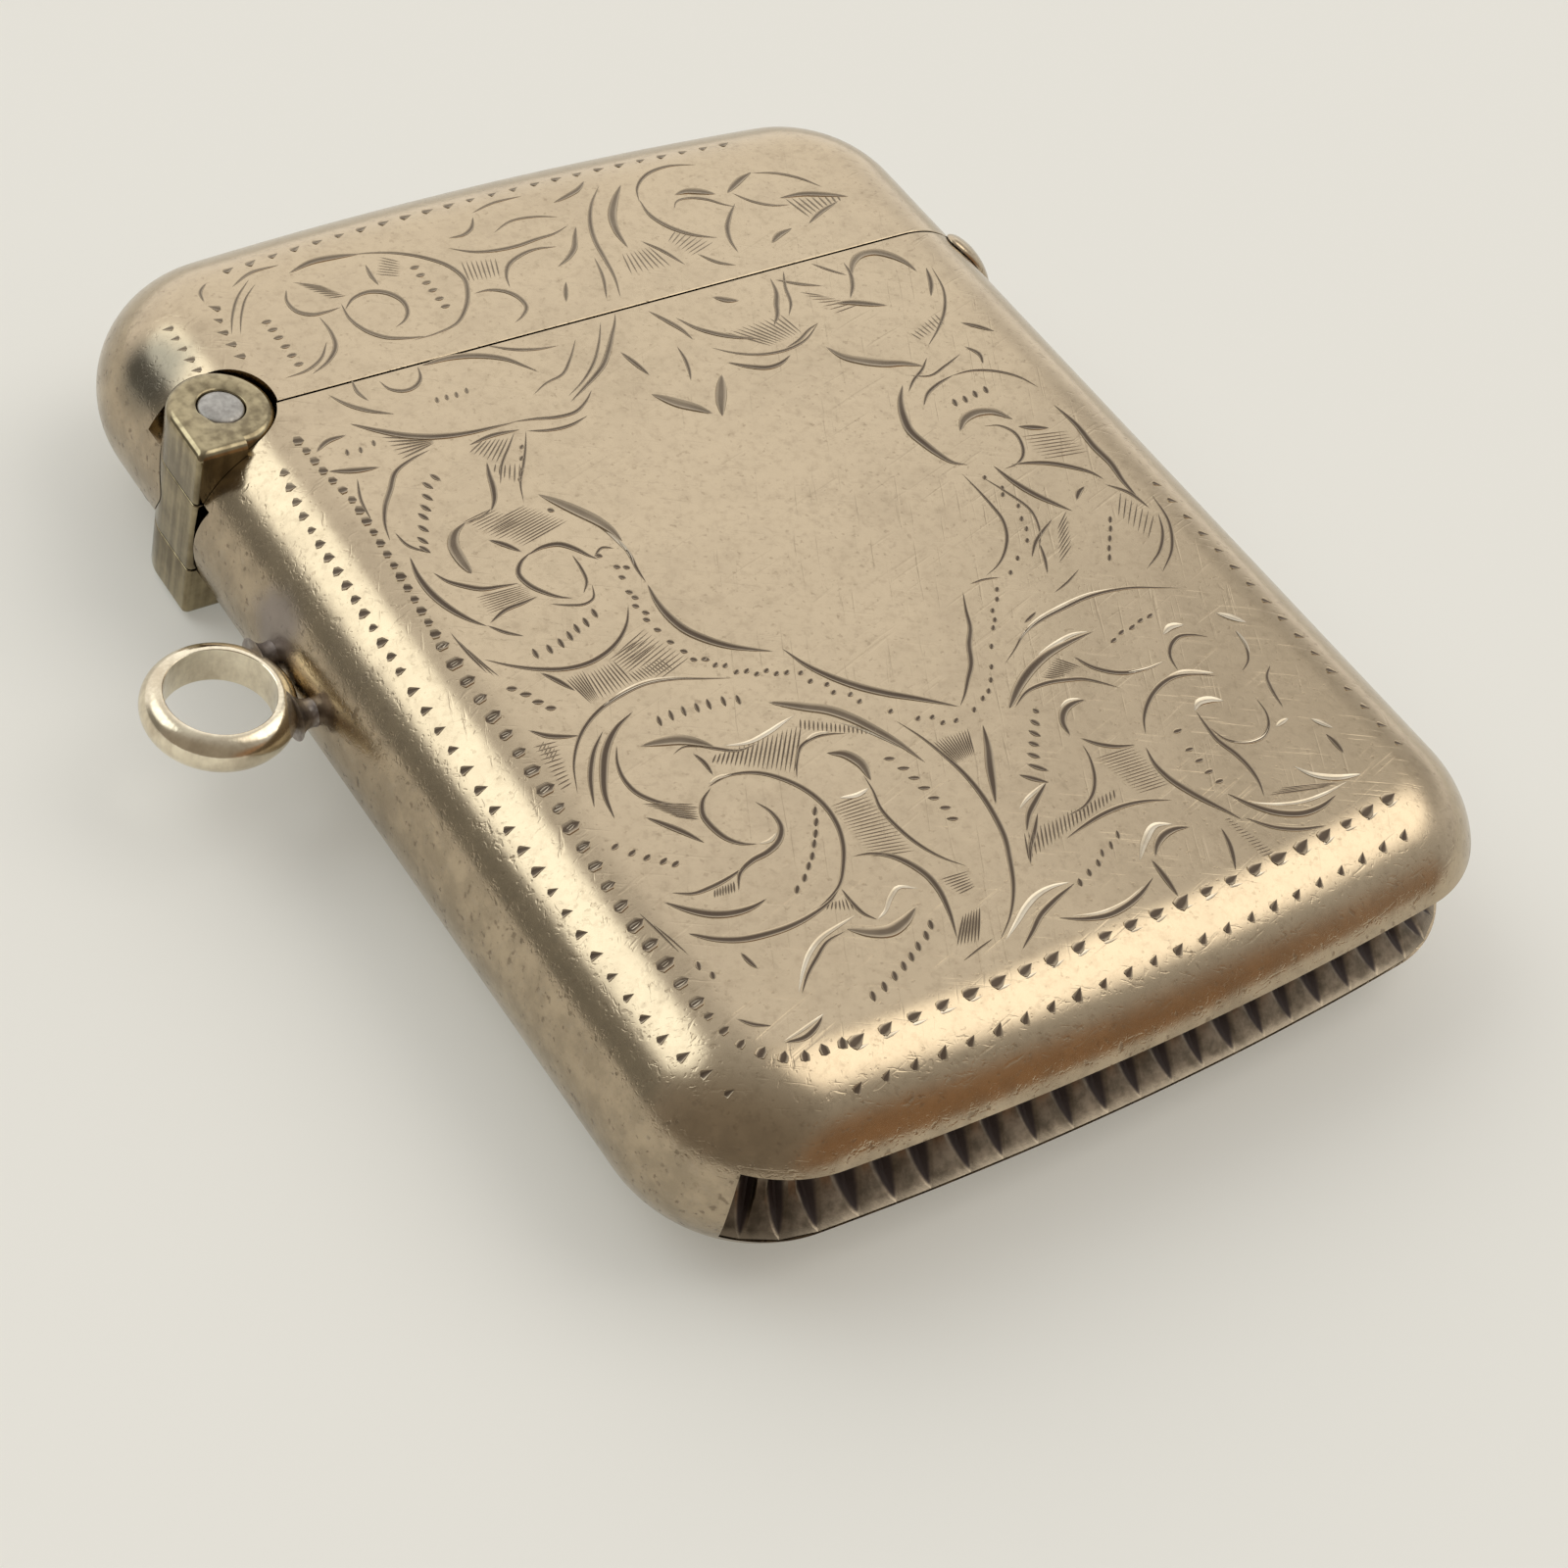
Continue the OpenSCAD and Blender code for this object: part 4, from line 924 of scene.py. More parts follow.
# %% Shield
shield = [
    (0.3, [(-7.7, 5), (-7.2, 4.3), (-6.8, 3.7), (-6.4, 3), (-6.2, 2.4), (-6.15, 1.9)]),
    (0.1, [(-6.25, 2.2), (-6.25, 1.3), (-6.4, 0.5), (-6.45, -0.1)]),
    (0.22, [(-6.45, -0.2), (-6.6, -1), (-6.6, -1.8), (-6.4, -2.6), (-6, -3.2), (-5.4, -3.8),
        (-4.8, -4.2), (-4.1, -4.6)], 0.9),
    (0.2, [(-3.75, -4.6), (-3.4, -5.6), (-2.9, -6.4), (-2.3, -7.1), (-1.5, -7.8), (-0.8, -8.3),
        (0, -8.9), (0.5, -9.3)]),
    (0.14, [(0.5, -9.3), (1, -8.9), (1.5, -8.4), (2.1, -7.8), (2.6, -7), (3.1, -6.4), (3.5, -5.6),
        (3.95, -4.8)]),
    (0.24, [(8.35, 5.05), (7.75, 4.35), (7.3, 3.5), (7.1, 2.8), (7.2, 2.05), (7.35, 1.45),
        (7.65, 0.8), (8.1, 0.5)]),
    (0.1, [(7.6, 0.2), (7.65, -0.8), (7.65, -1.6), (7.6, -2.3), (7.3, -3), (6.7, -3.7), (6, -4.2),
        (5.2, -4.5)]),
    (0.29, [(-1.05, 8), (-0.4, 7.25), (0.1, 6.8), (0.55, 6.3)]),
    (0.27, [(2.05, 8), (1.5, 7.2), (1.1, 6.6), (0.8, 6.05)]),
    *nicks(0.11, 0.3, 30, (-6.55, -3.95), (-6.35, -4.35), (-6.05, -4.5), (-5.85, -4.9), (-5.5, -5),
        (-5.25, -5.25), (-4.85, -5.25), (-4.6, -5.5), (-4.25, -5.6), (-3.8, -5.8), (-3.7, -6.25),
        (-3.25, -6.6), (-3.25, -7), (-2.75, -7.3), (-2.65, -7.7), (-1.9, -8.5), (-1.2, -9.15),
        (-0.7, -9.3), (-0.5, -9.65), (0, -9.75)),
    *nicks(0.11, 0.3, -40, (-7.7, 4.15), (-7.3, 1.6), (-7, 0.9), (-6.7, 0.75), (-7.1, 0.4),
        (-7.25, -0.3), (-7.2, -0.6), (-7.4, -0.95), (-7.25, -1.35), (-7.4, -1.65), (-7.3, -2.2),
        (-7.2, -2.85), (-7, -3.4), (-6.9, -3.85), (-6.5, -4)),
    *nicks(0.1, 0.3, 50, (5.2, -5.2), (4.9, -5.6), (4.4, -6), (4.2, -6.4), (3.9, -6.7),
        (3.3, -7.4), (2.7, -8.2), (2.3, -8.7), (1.9, -9.1), (1.5, -9.3), (0.9, -9.6), (8.3, -0.3),
        (8.6, -1), (8.4, -1.3), (8.6, -2), (8.3, -2.6), (8.15, -3.1), (7.8, -3.6), (6.9, -4.2),
        (6.2, -4.7)),
]
print("shield:", len(shield), "cuts")

# %% [markdown]
# The lid carries the same work on a smaller field, with two scrolls back to back.

# %% Lid scrolls
lid_scrolls = [
    (0.07, [(-13.8, 16.1), (-13.3, 17), (-12.7, 17.8), (-11.8, 18.6)]),
    (0.06, [(-13.5, 16), (-13, 16.9), (-12.4, 17.7), (-11.7, 18.3)]),
    (0.18, [(-10.3, 18.4), (-9.2, 18.7), (-8.2, 18.65), (-7.3, 18.5)]),
    (0.12, [(-7.8, 18.6), (-7, 18.45), (-6, 18.1), (-5.1, 17.5), (-4.5, 16.8), (-4.3, 16),
        (-4.6, 15.2), (-5.1, 14.5), (-5.8, 13.9), (-6.8, 13.65), (-7.8, 13.6)]),
    (0.12, [(-9.3, 16.3), (-9.4, 15.4), (-9.2, 14.7), (-8.7, 14.1), (-8, 13.8), (-7.2, 13.62)]),
    (0.14, [(-9.35, 15.9), (-8.7, 16.4), (-8, 16.5), (-7.4, 16.2), (-7.1, 15.6), (-7.25, 15),
        (-7.6, 14.65), (-8.05, 14.45)]),
    (0.12, [(-10.8, 17.65), (-11.1, 17), (-11, 16.4), (-10.6, 16.1), (-10, 16.05), (-9.4, 16.1)]),
    (0.12, [(-10.4, 15.9), (-10.4, 15), (-10.6, 14.3), (-11.2, 13.7), (-12.1, 13.25)]),
    (0.11, [(-7.4, 17.9), (-7.5, 17.3), (-7.5, 16.7)]),
    (0.12, [(-4.4, 15.1), (-3.8, 15.1), (-3.2, 14.8), (-2.9, 14.3), (-2.9, 13.8), (-3.3, 13.4),
        (-3.8, 13.15)]),
    (0.12, [(-2.95, 14.9), (-2.7, 15.6), (-2.3, 16.1), (-1.7, 16.4), (-0.9, 16.55), (0, 16.4)]),
    (0.12, [(-4, 17.7), (-3.2, 17.2), (-2.4, 17), (-1.4, 16.95), (-0.5, 17.05), (0.3, 17.1),
        (1.1, 17.35)]),
    (0.15, [(-0.6, 15.35), (0.1, 15.7), (0.6, 16.1), (1, 16.7), (1.35, 17.2)]),
    (0.11, [(-3.7, 18.2), (-3, 18.2), (-2.6, 18.4), (-2.15, 19)]),
    (0.08, [(-2.1, 19.2), (-1, 19.5), (0.3, 19.5)]),
    (0.15, [(1.25, 18.7), (2, 18.9), (2.6, 19.1), (3.15, 19.5)]),
    (0.13, [(0.75, 13), (1.2, 14.2), (1.4, 15.2), (1.6, 16.2), (2, 17.2), (2.6, 18.1), (3.5, 19)]),
    (0.22, [(2.6, 15.4), (2.7, 16.4), (3, 17.2), (3.6, 18), (4.4, 18.8)]),
    (0.13, [(4.6, 17.8), (4.5, 16.8), (4.8, 16), (5.4, 15.3), (6.3, 14.75)]),
    (0.22, [(6.1, 17.55), (6.7, 17.6), (7.2, 17.4), (7.75, 17.05)]),
    (0.19, [(8.2, 16.95), (8.8, 17.3), (9.3, 17.55), (9.9, 17.75)]),
    (0.13, [(8.15, 16.3), (7.5, 15.7), (7, 15.1), (6.7, 14.4), (6.6, 13.7)]),
    (0.09, [(5.6, 16.8), (6, 17.2), (6.6, 17.2), (7.2, 16.9), (7.7, 16.4), (8.1, 16.1)]),
    (0.2, [(10.1, 16), (11.2, 15.9), (12, 15.6), (12.9, 15.15)]),
    (0.13, [(10.3, 14.25), (11.2, 14.7), (12.3, 15.05)]),
    (0.18, [(8.2, 13.75), (8.8, 14.1), (9.5, 14.25)]),
    (0.12, [(-1.35, 13.5), (-1, 14.1), (-0.75, 14.5)]),
    (0.1, [(3.3, 15.6), (3.8, 14.8), (4.2, 13.8)]),
    (0.1, [(5, 14.2), (5.5, 13.5), (6.1, 13.1)]),
    (0.09, [(-13.9, 18), (-13.75, 18.6), (-13.3, 19)]),
    (0.1, [(4.5, 17.6), (4.9, 18.4), (5.7, 19), (6.8, 19.2), (8, 18.9)]),
    (0.09, [(9.9, 17.7), (10.8, 17.4), (11.6, 16.8), (12.2, 16)]),
    (0.09, [(-13.1, 13.4), (-12.2, 13.5), (-11.4, 13.9), (-10.8, 14.6)]),
    (0.09, [(0.2, 13.1), (0.8, 14.4), (1.05, 15.4)]),
    (0.09, [(-12.6, 18.4), (-11.6, 18.9), (-10.4, 18.95)]),
    (0.09, [(8.4, 16.9), (8.9, 16.2), (9.6, 15.7), (10.3, 15.5)]),
    (0.08, [(-1.9, 17.9), (-0.9, 18.3), (0.2, 18.2), (1, 17.9)]),
    *hatch(0.06, [(10.3, 15.9), (10.6, 14.6)], [(12.5, 15.4), (12.4, 15)], 9),
    *hatch(0.045, [(-3.9, 16.9), (-4.2, 15.7)], [(-2.6, 16.6), (-3, 15.6)], 8),
    *hatch(0.045, [(2.2, 15.2), (1.9, 14)], [(3.4, 15.2), (3.6, 13.9)], 8),
    *hatch(0.045, [(-10.4, 17.9), (-9.4, 17.3)], [(-9.6, 16.7), (-8.9, 16.6)], 8),
    *nicks(0.12, 0.42, 0, *[(-5.75, y) for y in (17.15, 16.7, 16.25, 15.8, 15.3, 14.85)]),
    *nicks(0.12, 0.42, 0, *[(-12.3, y) for y in (16.3, 15.85, 15.4, 14.9, 14.4, 13.9)]),
    *hatch(0.035, [(-6.7, 18.1), (-6.1, 17.6)], [(-7.3, 17.3), (-6.5, 16.9)], 7),
    *hatch(0.035, [(4.3, 15.2), (5, 15.7)], [(4.7, 14.2), (6, 14.6)], 8),
]
print("lid:", len(lid_scrolls), "cuts")

# %% [markdown]
# Two rows of wedge-shaped nicks run round the rim of body and lid, one on the face and
# one lower on the round edge. They were struck with a small chisel at each step along
# a line, so a loop sets them, with a little seeded unevenness of turn and size.

# %% Rim nicks
TURN_SPREAD, SIZE_SPREAD = (-10, 10), (0.8, 1.12)
nick_rng = np.random.default_rng(11)


def rim_nicks(marks, pitch, half_width, length, lean, point=0.75):
    """Wedge nicks set evenly along a smooth line, each turned by lean from the line's way."""
    line = smooth_line(marks, NICK_STEP)
    run = lengths(line)
    at = np.linspace(0, run[-1], int(round(run[-1] / pitch)) + 1)
    place = np.stack([np.interp(at, run, line[:, k]) for k in (0, 1)], -1)
    way = np.stack([np.interp(at, run, np.gradient(line[:, k], run)) for k in (0, 1)], -1)
    a = np.radians(lean + nick_rng.uniform(*TURN_SPREAD, len(at)))[:, None]
    way = way * np.cos(a) + way[:, ::-1] * [-1, 1] * np.sin(a)
    size = nick_rng.uniform(*SIZE_SPREAD, len(at))
    way *= 0.5 * length * size[:, None]
    return [(half_width * k, (p - w, p + w), 1.0, point) for k, p, w in zip(size, place, way)]


inner_left = [(-14.18, 10.4), (-14.07, 8.5), (-13.87, 7.2), (-13.92, 5.9), (-14.1, 3.6),
    (-14.4, 0), (-14.45, -4), (-14.5, -7.5), (-14.75, -12), (-14.65, -16)]
outer_left = [(-15.2, 9.4), (-15.45, 8), (-15.7, 4), (-15.9, 0), (-16, -4), (-16.05, -9),
    (-16.1, -14), (-15.9, -17), (-15.3, -19)]
body_rim = [
    *rim_nicks(inner_left[:6], 0.54, 0.22, 0.36, 75, 0.3),
    *rim_nicks(inner_left[5:], 0.86, 0.27, 0.62, 100, 0.3),
    *rim_nicks([(-14.6, -16.6), (-14.25, -18), (-13.2, -19),
        (-11.4, -19.25)], 0.68, 0.2, 0.42, 80, 0.4),
    *rim_nicks([(-10.9, -19.35), (-6, -19.4), (0, -19.4), (6, -19.3), (10, -19.1),
        (12.3, -18.85)], 1.1, 0.27, 0.72, 14, 0.55),
    *rim_nicks([(14.55, -3), (14.55, -10), (14.5, -17)], 0.95, 0.17, 0.45, 60),
    *rim_nicks(outer_left[:4], 0.66, 0.2, 0.36, 60, 0.5),
    *rim_nicks(outer_left[3:], 0.9, 0.2, 0.4, 70),
    *rim_nicks([(-11.6, -20.6), (-6, -20.75), (0, -20.75), (6, -20.65),
        (12, -20.2)], 1.07, 0.22, 0.46, 40),
]
lid_rim = [
    *rim_nicks([(-14.05, 15), (-14, 16.5), (-13.7, 17.6)], 0.6, 0.17, 0.45, 60),
    *rim_nicks([(-15.55, 15.3), (-15.5, 17.6)], 0.55, 0.15, 0.42, 60),
    *rim_nicks([(-12.2, 19.4), (-8, 19.8), (-4, 20), (0, 20.1), (5, 20.05),
        (10, 19.8)], 0.95, 0.17, 0.5, 15),
]
print("rim nicks:", len(body_rim), "on the body,", len(lid_rim), "on the lid")

# %% [markdown]
# Where the burin was held flat it left a bright facet beside a stroke. These pale strokes
# also paint the highlights that lie along the cuts and along the inner and bottom rows of
# nicks. They are cuts like the others with a paler, polished finish. All the cuts then
# become pieces, each riding on body or lid.

# %% Bright cuts with painted highlights, and all cuts as pieces
# Pale strokes: partly the burin's bright facets, partly painted highlights along the cuts.
bright = [
    (0.1, [(-11, -4.5), (-10, -4.2), (-9, -4.1), (-8, -4.3), (-7.3, -4.6)]),
    (0.12, [(-8.1, -7.55), (-7.3, -7.75), (-6.4, -7.65), (-5.6, -7.45), (-5.1, -7.35)]),
    (0.1, [(-9.5, -8.75), (-9.1, -8.65), (-8.5, -8.7)]),
    (0.1, [(-9.4, -11.55), (-9, -11.6), (-8.55, -11.4)]),
    (0.1, [(-5.45, -8.45), (-4.9, -8.35), (-4.4, -8.45)]),
    (0.06, [(-3.9, -8.2), (-3.4, -8.7), (-2.9, -9.4), (-2.5, -10.1)]),
    (0.12, [(-5.8, -11), (-5.2, -11.15), (-4.6, -11.05)]),
    (0.12, [(-11.6, -17.1), (-11, -16.45), (-10.4, -15.95), (-9.7, -15.6), (-9, -15.45),
        (-8.1, -15.3)]),
    (0.12, [(-7.6, -15.75), (-7.2, -15.6), (-6.7, -15.2), (-6.2, -14.95), (-5.6, -15.25)]),
    (0.15, [(-4.2, -18.2), (-3.4, -17.75), (-2.8, -17.4), (-2.2, -17.15), (-1.4, -17.05),
        (-0.7, -17.15)]),
    (0.08, [(-13.1, -18.45), (-12.4, -18.35), (-11.7, -18.2), (-11.3, -18.1)]),
    (0.08, [(-1.6, -18.3), (-0.6, -18.6), (0.5, -18.6), (1.6, -18.3)]),
    (0.1, [(-0.4, -13.9), (0.1, -13.65), (0.7, -13.45), (1.2, -13.3)]),
    (0.1, [(3.8, -10.75), (4.3, -10.6), (4.8, -10.7)]),
    (0.1, [(4.3, -7.6), (5.5, -7.05), (6.9, -6.8), (8.3, -6.7), (9.5, -6.85)]),
    (0.12, [(4.6, -8.4), (5.6, -8.2), (6.6, -8.1), (7.1, -8.2)]),
    (0.08, [(7.1, -10.35), (8, -10.5), (8.8, -10.45)]),
    (0.18, [(9.6, -9.4), (10.1, -9.2), (10.7, -9.3)]),
    (0.18, [(12.2, -9.3), (12.6, -9.7), (13, -10.15)]),
    (0.14, [(8.4, -11.1), (9.1, -11.15), (9.8, -11.45), (10.2, -11.65)]),
    (0.2, [(8.3, -12.8), (8.7, -12.55), (9.2, -12.6), (9.65, -12.85)]),
    (0.08, [(8.6, -14.5), (9.3, -14.8), (10, -14.75), (10.5, -14.4)]),
    (0.13, [(10.6, -14.6), (11, -14.5), (11.35, -14.45)]),
    (0.15, [(12.1, -14.8), (12.4, -15.2), (12.6, -15.5)]),
    (0.18, [(10, -16.3), (10.4, -16.9), (11, -17.3), (12.1, -17.6)]),
    (0.1, [(7.3, -16.9), (8.2, -17.4), (9.2, -17.7), (10.2, -17.75), (11.4, -17.65)]),
    (0.18, [(2.1, -17.4), (2.8, -16.8), (3.6, -16.4), (4.2, -16.6)]),
    (0.09, [(12.1, -11.4), (12.3, -10.8), (12.35, -10.3)]),
    (0.1, [(-6.9, 3.4), (-6.5, 2.8), (-6.3, 2), (-6.25, 1.3), (-6.45, 0.6)]),
    # Painted highlights on the inner row of nicks at the left and along the bottom row.
    *rim_nicks(inner_left[5:], 0.86, 0.1, 0.42, 100, 0.5),
    *rim_nicks([(-10.85, -19.6), (-6, -19.65), (0, -19.65), (6, -19.55), (10, -19.35),
        (12.3, -19.1)], 1.1, 0.07, 0.6, 0, 0.5),
]
scrolls = lower_left + lower_right + upper_left + upper_right
# The pale strokes, bright facets and painted highlights alike, as one piece.
glint_cuts = cut_piece("glint_cuts", bright, "case")
body_cuts = cut_piece("body_engraving", scrolls, "case")
shield_cuts = cut_piece("shield_outline", shield, "case")
body_rim_cuts = cut_piece("body_rim_nicks", body_rim, "case")
lid_cuts = cut_piece("lid_engraving", lid_scrolls, "lid")
lid_rim_cuts = cut_piece("lid_rim_nicks", lid_rim, "lid")

# %% [markdown]
# Finishes are sums of node values, and a sum is easier to read as Python than as wires.
# This class wraps a socket: + - * add Math nodes, and one method adds any other node.

# %% Shader values
class Value:
    """A socket of a material that can be reckoned with as a number."""

    def __init__(self, tree, socket=None):
        self.tree, self.socket = tree, socket

    def node(self, kind, settings=None, inputs=None, out=0):
        """Add a node: its settings first, then the numbers or links of its inputs."""
        made = self.tree.nodes.new("ShaderNode" + kind)
        for key, value in (settings or {}).items():
            setattr(made, key, value)
        for key, value in (inputs or {}).items():
            self.feed(made.inputs[key], value)
        return Value(self.tree, made.outputs[out])

    def feed(self, socket, value):
        """Link a value to a socket, or set the socket to a plain number."""
        if isinstance(value, Value):
            self.tree.links.new(value.socket, socket)
        else:
            socket.default_value = value

    def math(self, operation, first, second=0.0):
        return self.node("Math", {"operation": operation}, {0: first, 1: second})

    def __add__(self, other): return self.math("ADD", self, other)
    def __radd__(self, other): return self.math("ADD", other, self)
    def __sub__(self, other): return self.math("SUBTRACT", self, other)
    def __rsub__(self, other): return self.math("SUBTRACT", other, self)
    def __mul__(self, other): return self.math("MULTIPLY", self, other)
    def __rmul__(self, other): return self.math("MULTIPLY", other, self)

    def band(self, low, high):
        """0 below low, 1 above high, and a smooth step between."""
        return self.node("MapRange", {"interpolation_type": "SMOOTHSTEP"},
                         {"Value": self, "From Min": low, "From Max": high})

    def mix(self, first, second):
        """A colour from first to second as this value goes from 0 to 1."""
        ends = [c if isinstance(c, Value) else (*c, 1.0) for c in (first, second)]
        return self.node("Mix", {"data_type": "RGBA"}, {0: self, 6: ends[0], 7: ends[1]}, out=2)


print("a value can add, subtract, multiply, step and mix")

# %% [markdown]
# Every finish starts from the place on the piece, so that noise keeps to the metal when
# the lid turns, and one helper sets it up. Noise stands for what wear and dirt did.

# %% The start of a finish
def finish(name, metallic=1.0):
    """A new material, the place on the piece in millimetres, and the shader's own node."""
    material = bpy.data.materials.new(name)
    material.use_nodes = True
    shader = material.node_tree.nodes["Principled BSDF"]
    shader.inputs["Metallic"].default_value = metallic
    place = Value(material.node_tree).node("TexCoord", out=3)
    place = place.node("VectorMath", {"operation": "SCALE"}, {0: place, 3: 1000.0})
    return material, place, shader


def fit(shader, **values):
    """Link values to the shader's sockets, named with _ for a space."""
    for key, value in values.items():
        Value(shader.id_data).feed(shader.inputs[key.replace("_", " ")], value)


def noise(place, scale, detail=3.0, rough=0.55, stretch=None):
    """Cloudy noise from 0 to 1, scale waves to the millimetre, stretched if asked."""
    if stretch is not None:
        place = place.node("Mapping", None, {0: place, 3: stretch})
    return place.node("TexNoise", None, {"Vector": place, "Scale": scale, "Detail": detail,
                                         "Roughness": rough})


print("finishes are ready to be mixed")

# %% [markdown]
# Old silver is pale and warm where it is rubbed and brown where it is not. The wall
# has fine scratches in all directions, small pits on the sides, and cloudy tarnish.
# Colour, roughness and bump all follow the same clouds, so they agree with each other.
# Where the ring was soldered on, a grey stain spreads on the wall, and the lid's corner
# above the hinge is darker in a soft patch.

# %% Silver of the shells
RUBBED, TARNISHED = (0.52, 0.425, 0.30), (0.32, 0.255, 0.18)
PIT, SPECK = (0.15, 0.11, 0.075), (0.27, 0.205, 0.135)
SIDE_PALE, SIDE_DULL = (0.58, 0.51, 0.405), (0.27, 0.225, 0.16)
STAIN, STAIN_AT = (0.29, 0.255, 0.24), (-17.2, 5.2, 5.0)
# Colour and middle of a soft darker patch on the lid's corner above the hinge.
LID_CORNER_DARK, LID_CORNER_DARK_AT = (0.15, 0.14, 0.115), (-16.2, 16.5, 6.4)


def axis(place, k):
    """One of a place's three numbers."""
    return place.node("SeparateXYZ", None, {0: place}, out=k)


def away_from(place, spot):
    """Distance in millimetres from a spot on the case."""
    return place.node("VectorMath", {"operation": "DISTANCE"}, {0: place, 1: spot}, out=1)


def scratches(place, scale, turn):
    """Fine lines in one direction: noise stretched twenty times, kept where it peaks."""
    lines = place.node("Mapping", None, {0: place, 2: (0, 0, turn)})
    return noise(lines, scale, 2.0, 0.5, (1.0, 0.05, 1.0)).band(0.62, 0.74)


def bumped(shader, height, strength):
    """Let a height, in tenths of a millimetre, tilt the shader's normal."""
    bump = {"Height": height, "Strength": strength, "Distance": 0.0001}
    fit(shader, Normal=height.node("Bump", None, bump))


def shell_silver():
    """The finish of body, lid and nib: clouds for tarnish, then pits, specks, a stain by the ring
    and a darker patch on the lid's corner.
    """
    material, place, shader = finish("case_silver")
    off_middle = axis(place, 2) - MID_Z
    side = 1.0 - off_middle.math("ABSOLUTE", off_middle).band(1.2, 3.7)
    clouds = noise(place, 0.16, 4.0, 0.6)
    mottle = noise(place, 0.9, 5.0, 0.65)
    fine = noise(place, 2.6, 4.0, 0.7)
    pits = noise(place, 3.2, 2.0, 0.5).band(0.6, 0.72) * (0.2 + 0.8 * side)
    specks = noise(place, 4.4, 2.0, 0.5).band(0.64, 0.72)
    waves = noise(place, 0.13, 1.0)
    lines = scratches(place, 5.0, 0.5) + scratches(place, 6.5, 2.1) + scratches(place, 4.0, 1.3)
    dull = (0.5 * clouds + 0.5 * mottle + 0.2 * side - 0.38).band(0.0, 0.75)
    stain = 1.0 - (away_from(place, STAIN_AT) + 1.2 * mottle).band(1.3, 2.4)
    # A soft darker patch on the lid's corner above the hinge.
    corner_dark = 1.0 - (away_from(place, LID_CORNER_DARK_AT) + 0.8 * mottle).band(1.2, 2.5)
    colour = dull.mix(RUBBED, TARNISHED)
    for share, other in ((pits * 0.6, PIT),
                         (0.5 * fine.band(0.5, 0.75) * side, SIDE_PALE),
                         (0.35 * mottle.band(0.4, 0.62) * side, SIDE_DULL),
                         (0.3 * fine.band(0.45, 0.75) + 0.35 * specks, SPECK),
                         (0.8 * stain, STAIN), (0.8 * corner_dark, LID_CORNER_DARK)):
        colour = share.mix(colour, other)
    rough = 0.15 + 0.1 * dull + 0.05 * mottle + 0.1 * pits + 0.12 * stain
    fit(shader, Base_Color=colour, Roughness=rough)
    bumped(shader, 10.0 * waves + 0.3 * mottle - 0.5 * pits - 0.3 * lines - 0.2 * specks
           + 0.6 * fine * side, 0.14)
    return material


def put_on(material, *objects):
    """Give each object the material in place of any that it has."""
    for obj in objects:
        obj.data.materials.clear()
        obj.data.materials.append(material)


put_on(shell_silver(), body_shell, lid_shell, nib)
print("silver on the shells")

# %% [markdown]
# The hinge, the ring and the inside are the same metal in other states: the knuckles are
# polished by use and keep their file marks along the pin, the ring is rubbed by its chain,
# the bezel and blocks inside are only dulled. The pin is grey steel, the spring was blued
# by heat, and solder is dull and speckled.

# %% Metals of the small parts
EVEN = (1, 1, 1)  # a grain that runs no way in particular


def small_metal(name, bright, dark, gloss, speck, grain, bump=0.1, streak=0.35):
    """A metal between two colours by cloudy noise of speck waves to the millimetre, with
    roughness from gloss up and a bump of noise stretched by grain, which also streaks
    the colour."""
    material, place, shader = finish(name)
    clouds = noise(place, speck, 4.0, 0.65)
    lines = noise(place, 7.0, 2.0, 0.5, grain)
    dull = (clouds + streak * (lines - 0.5)).band(0.25, 0.75)
    fit(shader, Base_Color=dull.mix(bright, dark), Roughness=gloss + 0.14 * dull)
    bumped(shader, 0.6 * lines + 0.5 * clouds, bump)
    return material


hinge_silver = small_metal("hinge_silver", (0.385, 0.325, 0.205), (0.18, 0.145, 0.09), 0.08, 0.6,
                           (0.4, 0.4, 0.02), 0.12, 0.8)
ring_silver = small_metal("ring_silver", (0.88, 0.80, 0.625), (0.58, 0.495, 0.37), 0.08, 0.7,
                          (1, 1, 0.3), 0.06, 0.2)
pin_steel = small_metal("pin_steel", (0.44, 0.425, 0.40), (0.29, 0.275, 0.26), 0.36, 2.2, EVEN)
solder_grey = small_metal("solder_grey", (0.40, 0.36, 0.335), (0.24, 0.21, 0.20), 0.34, 2.6,
                          EVEN, 0.3)
inner_silver = small_metal("inner_silver", (0.52, 0.445, 0.335), (0.33, 0.27, 0.20), 0.3, 0.7,
                           (0.1, 1, 1))
spring_steel = small_metal("spring_steel", (0.17, 0.19, 0.24), (0.23, 0.20, 0.17), 0.26, 0.35,
                           (1, 0.05, 1))
put_on(hinge_silver, front_knuckle, back_knuckle, lid_knuckle)
put_on(ring_silver, ring)
put_on(pin_steel, pin)
put_on(solder_grey, *solder)
inside_metals = {"lid_spring": spring_steel, "spring_rivets": hinge_silver}
for name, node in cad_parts.items():
    put_on(inside_metals.get(name, inner_silver), node)
print("metals on", len(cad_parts), "measured pieces and the small parts")

# %% [markdown]
# Dirt and tarnish stay in the cuts and are wiped off the burrs beside them, so one
# finish goes from brown on the floors to silver on the burrs by the value that each
# cut's points carry. The cuts are also paler towards the lid end. The striker has
# the same, with soot in its cuts and a rubbed lip. The engraver's bright cuts were
# burnished, so they stay pale, and their paler colour also paints highlights along them.

# %% Finish of the cuts and the striker
BURR, DIRT = (0.40, 0.33, 0.24), (0.09, 0.063, 0.042)
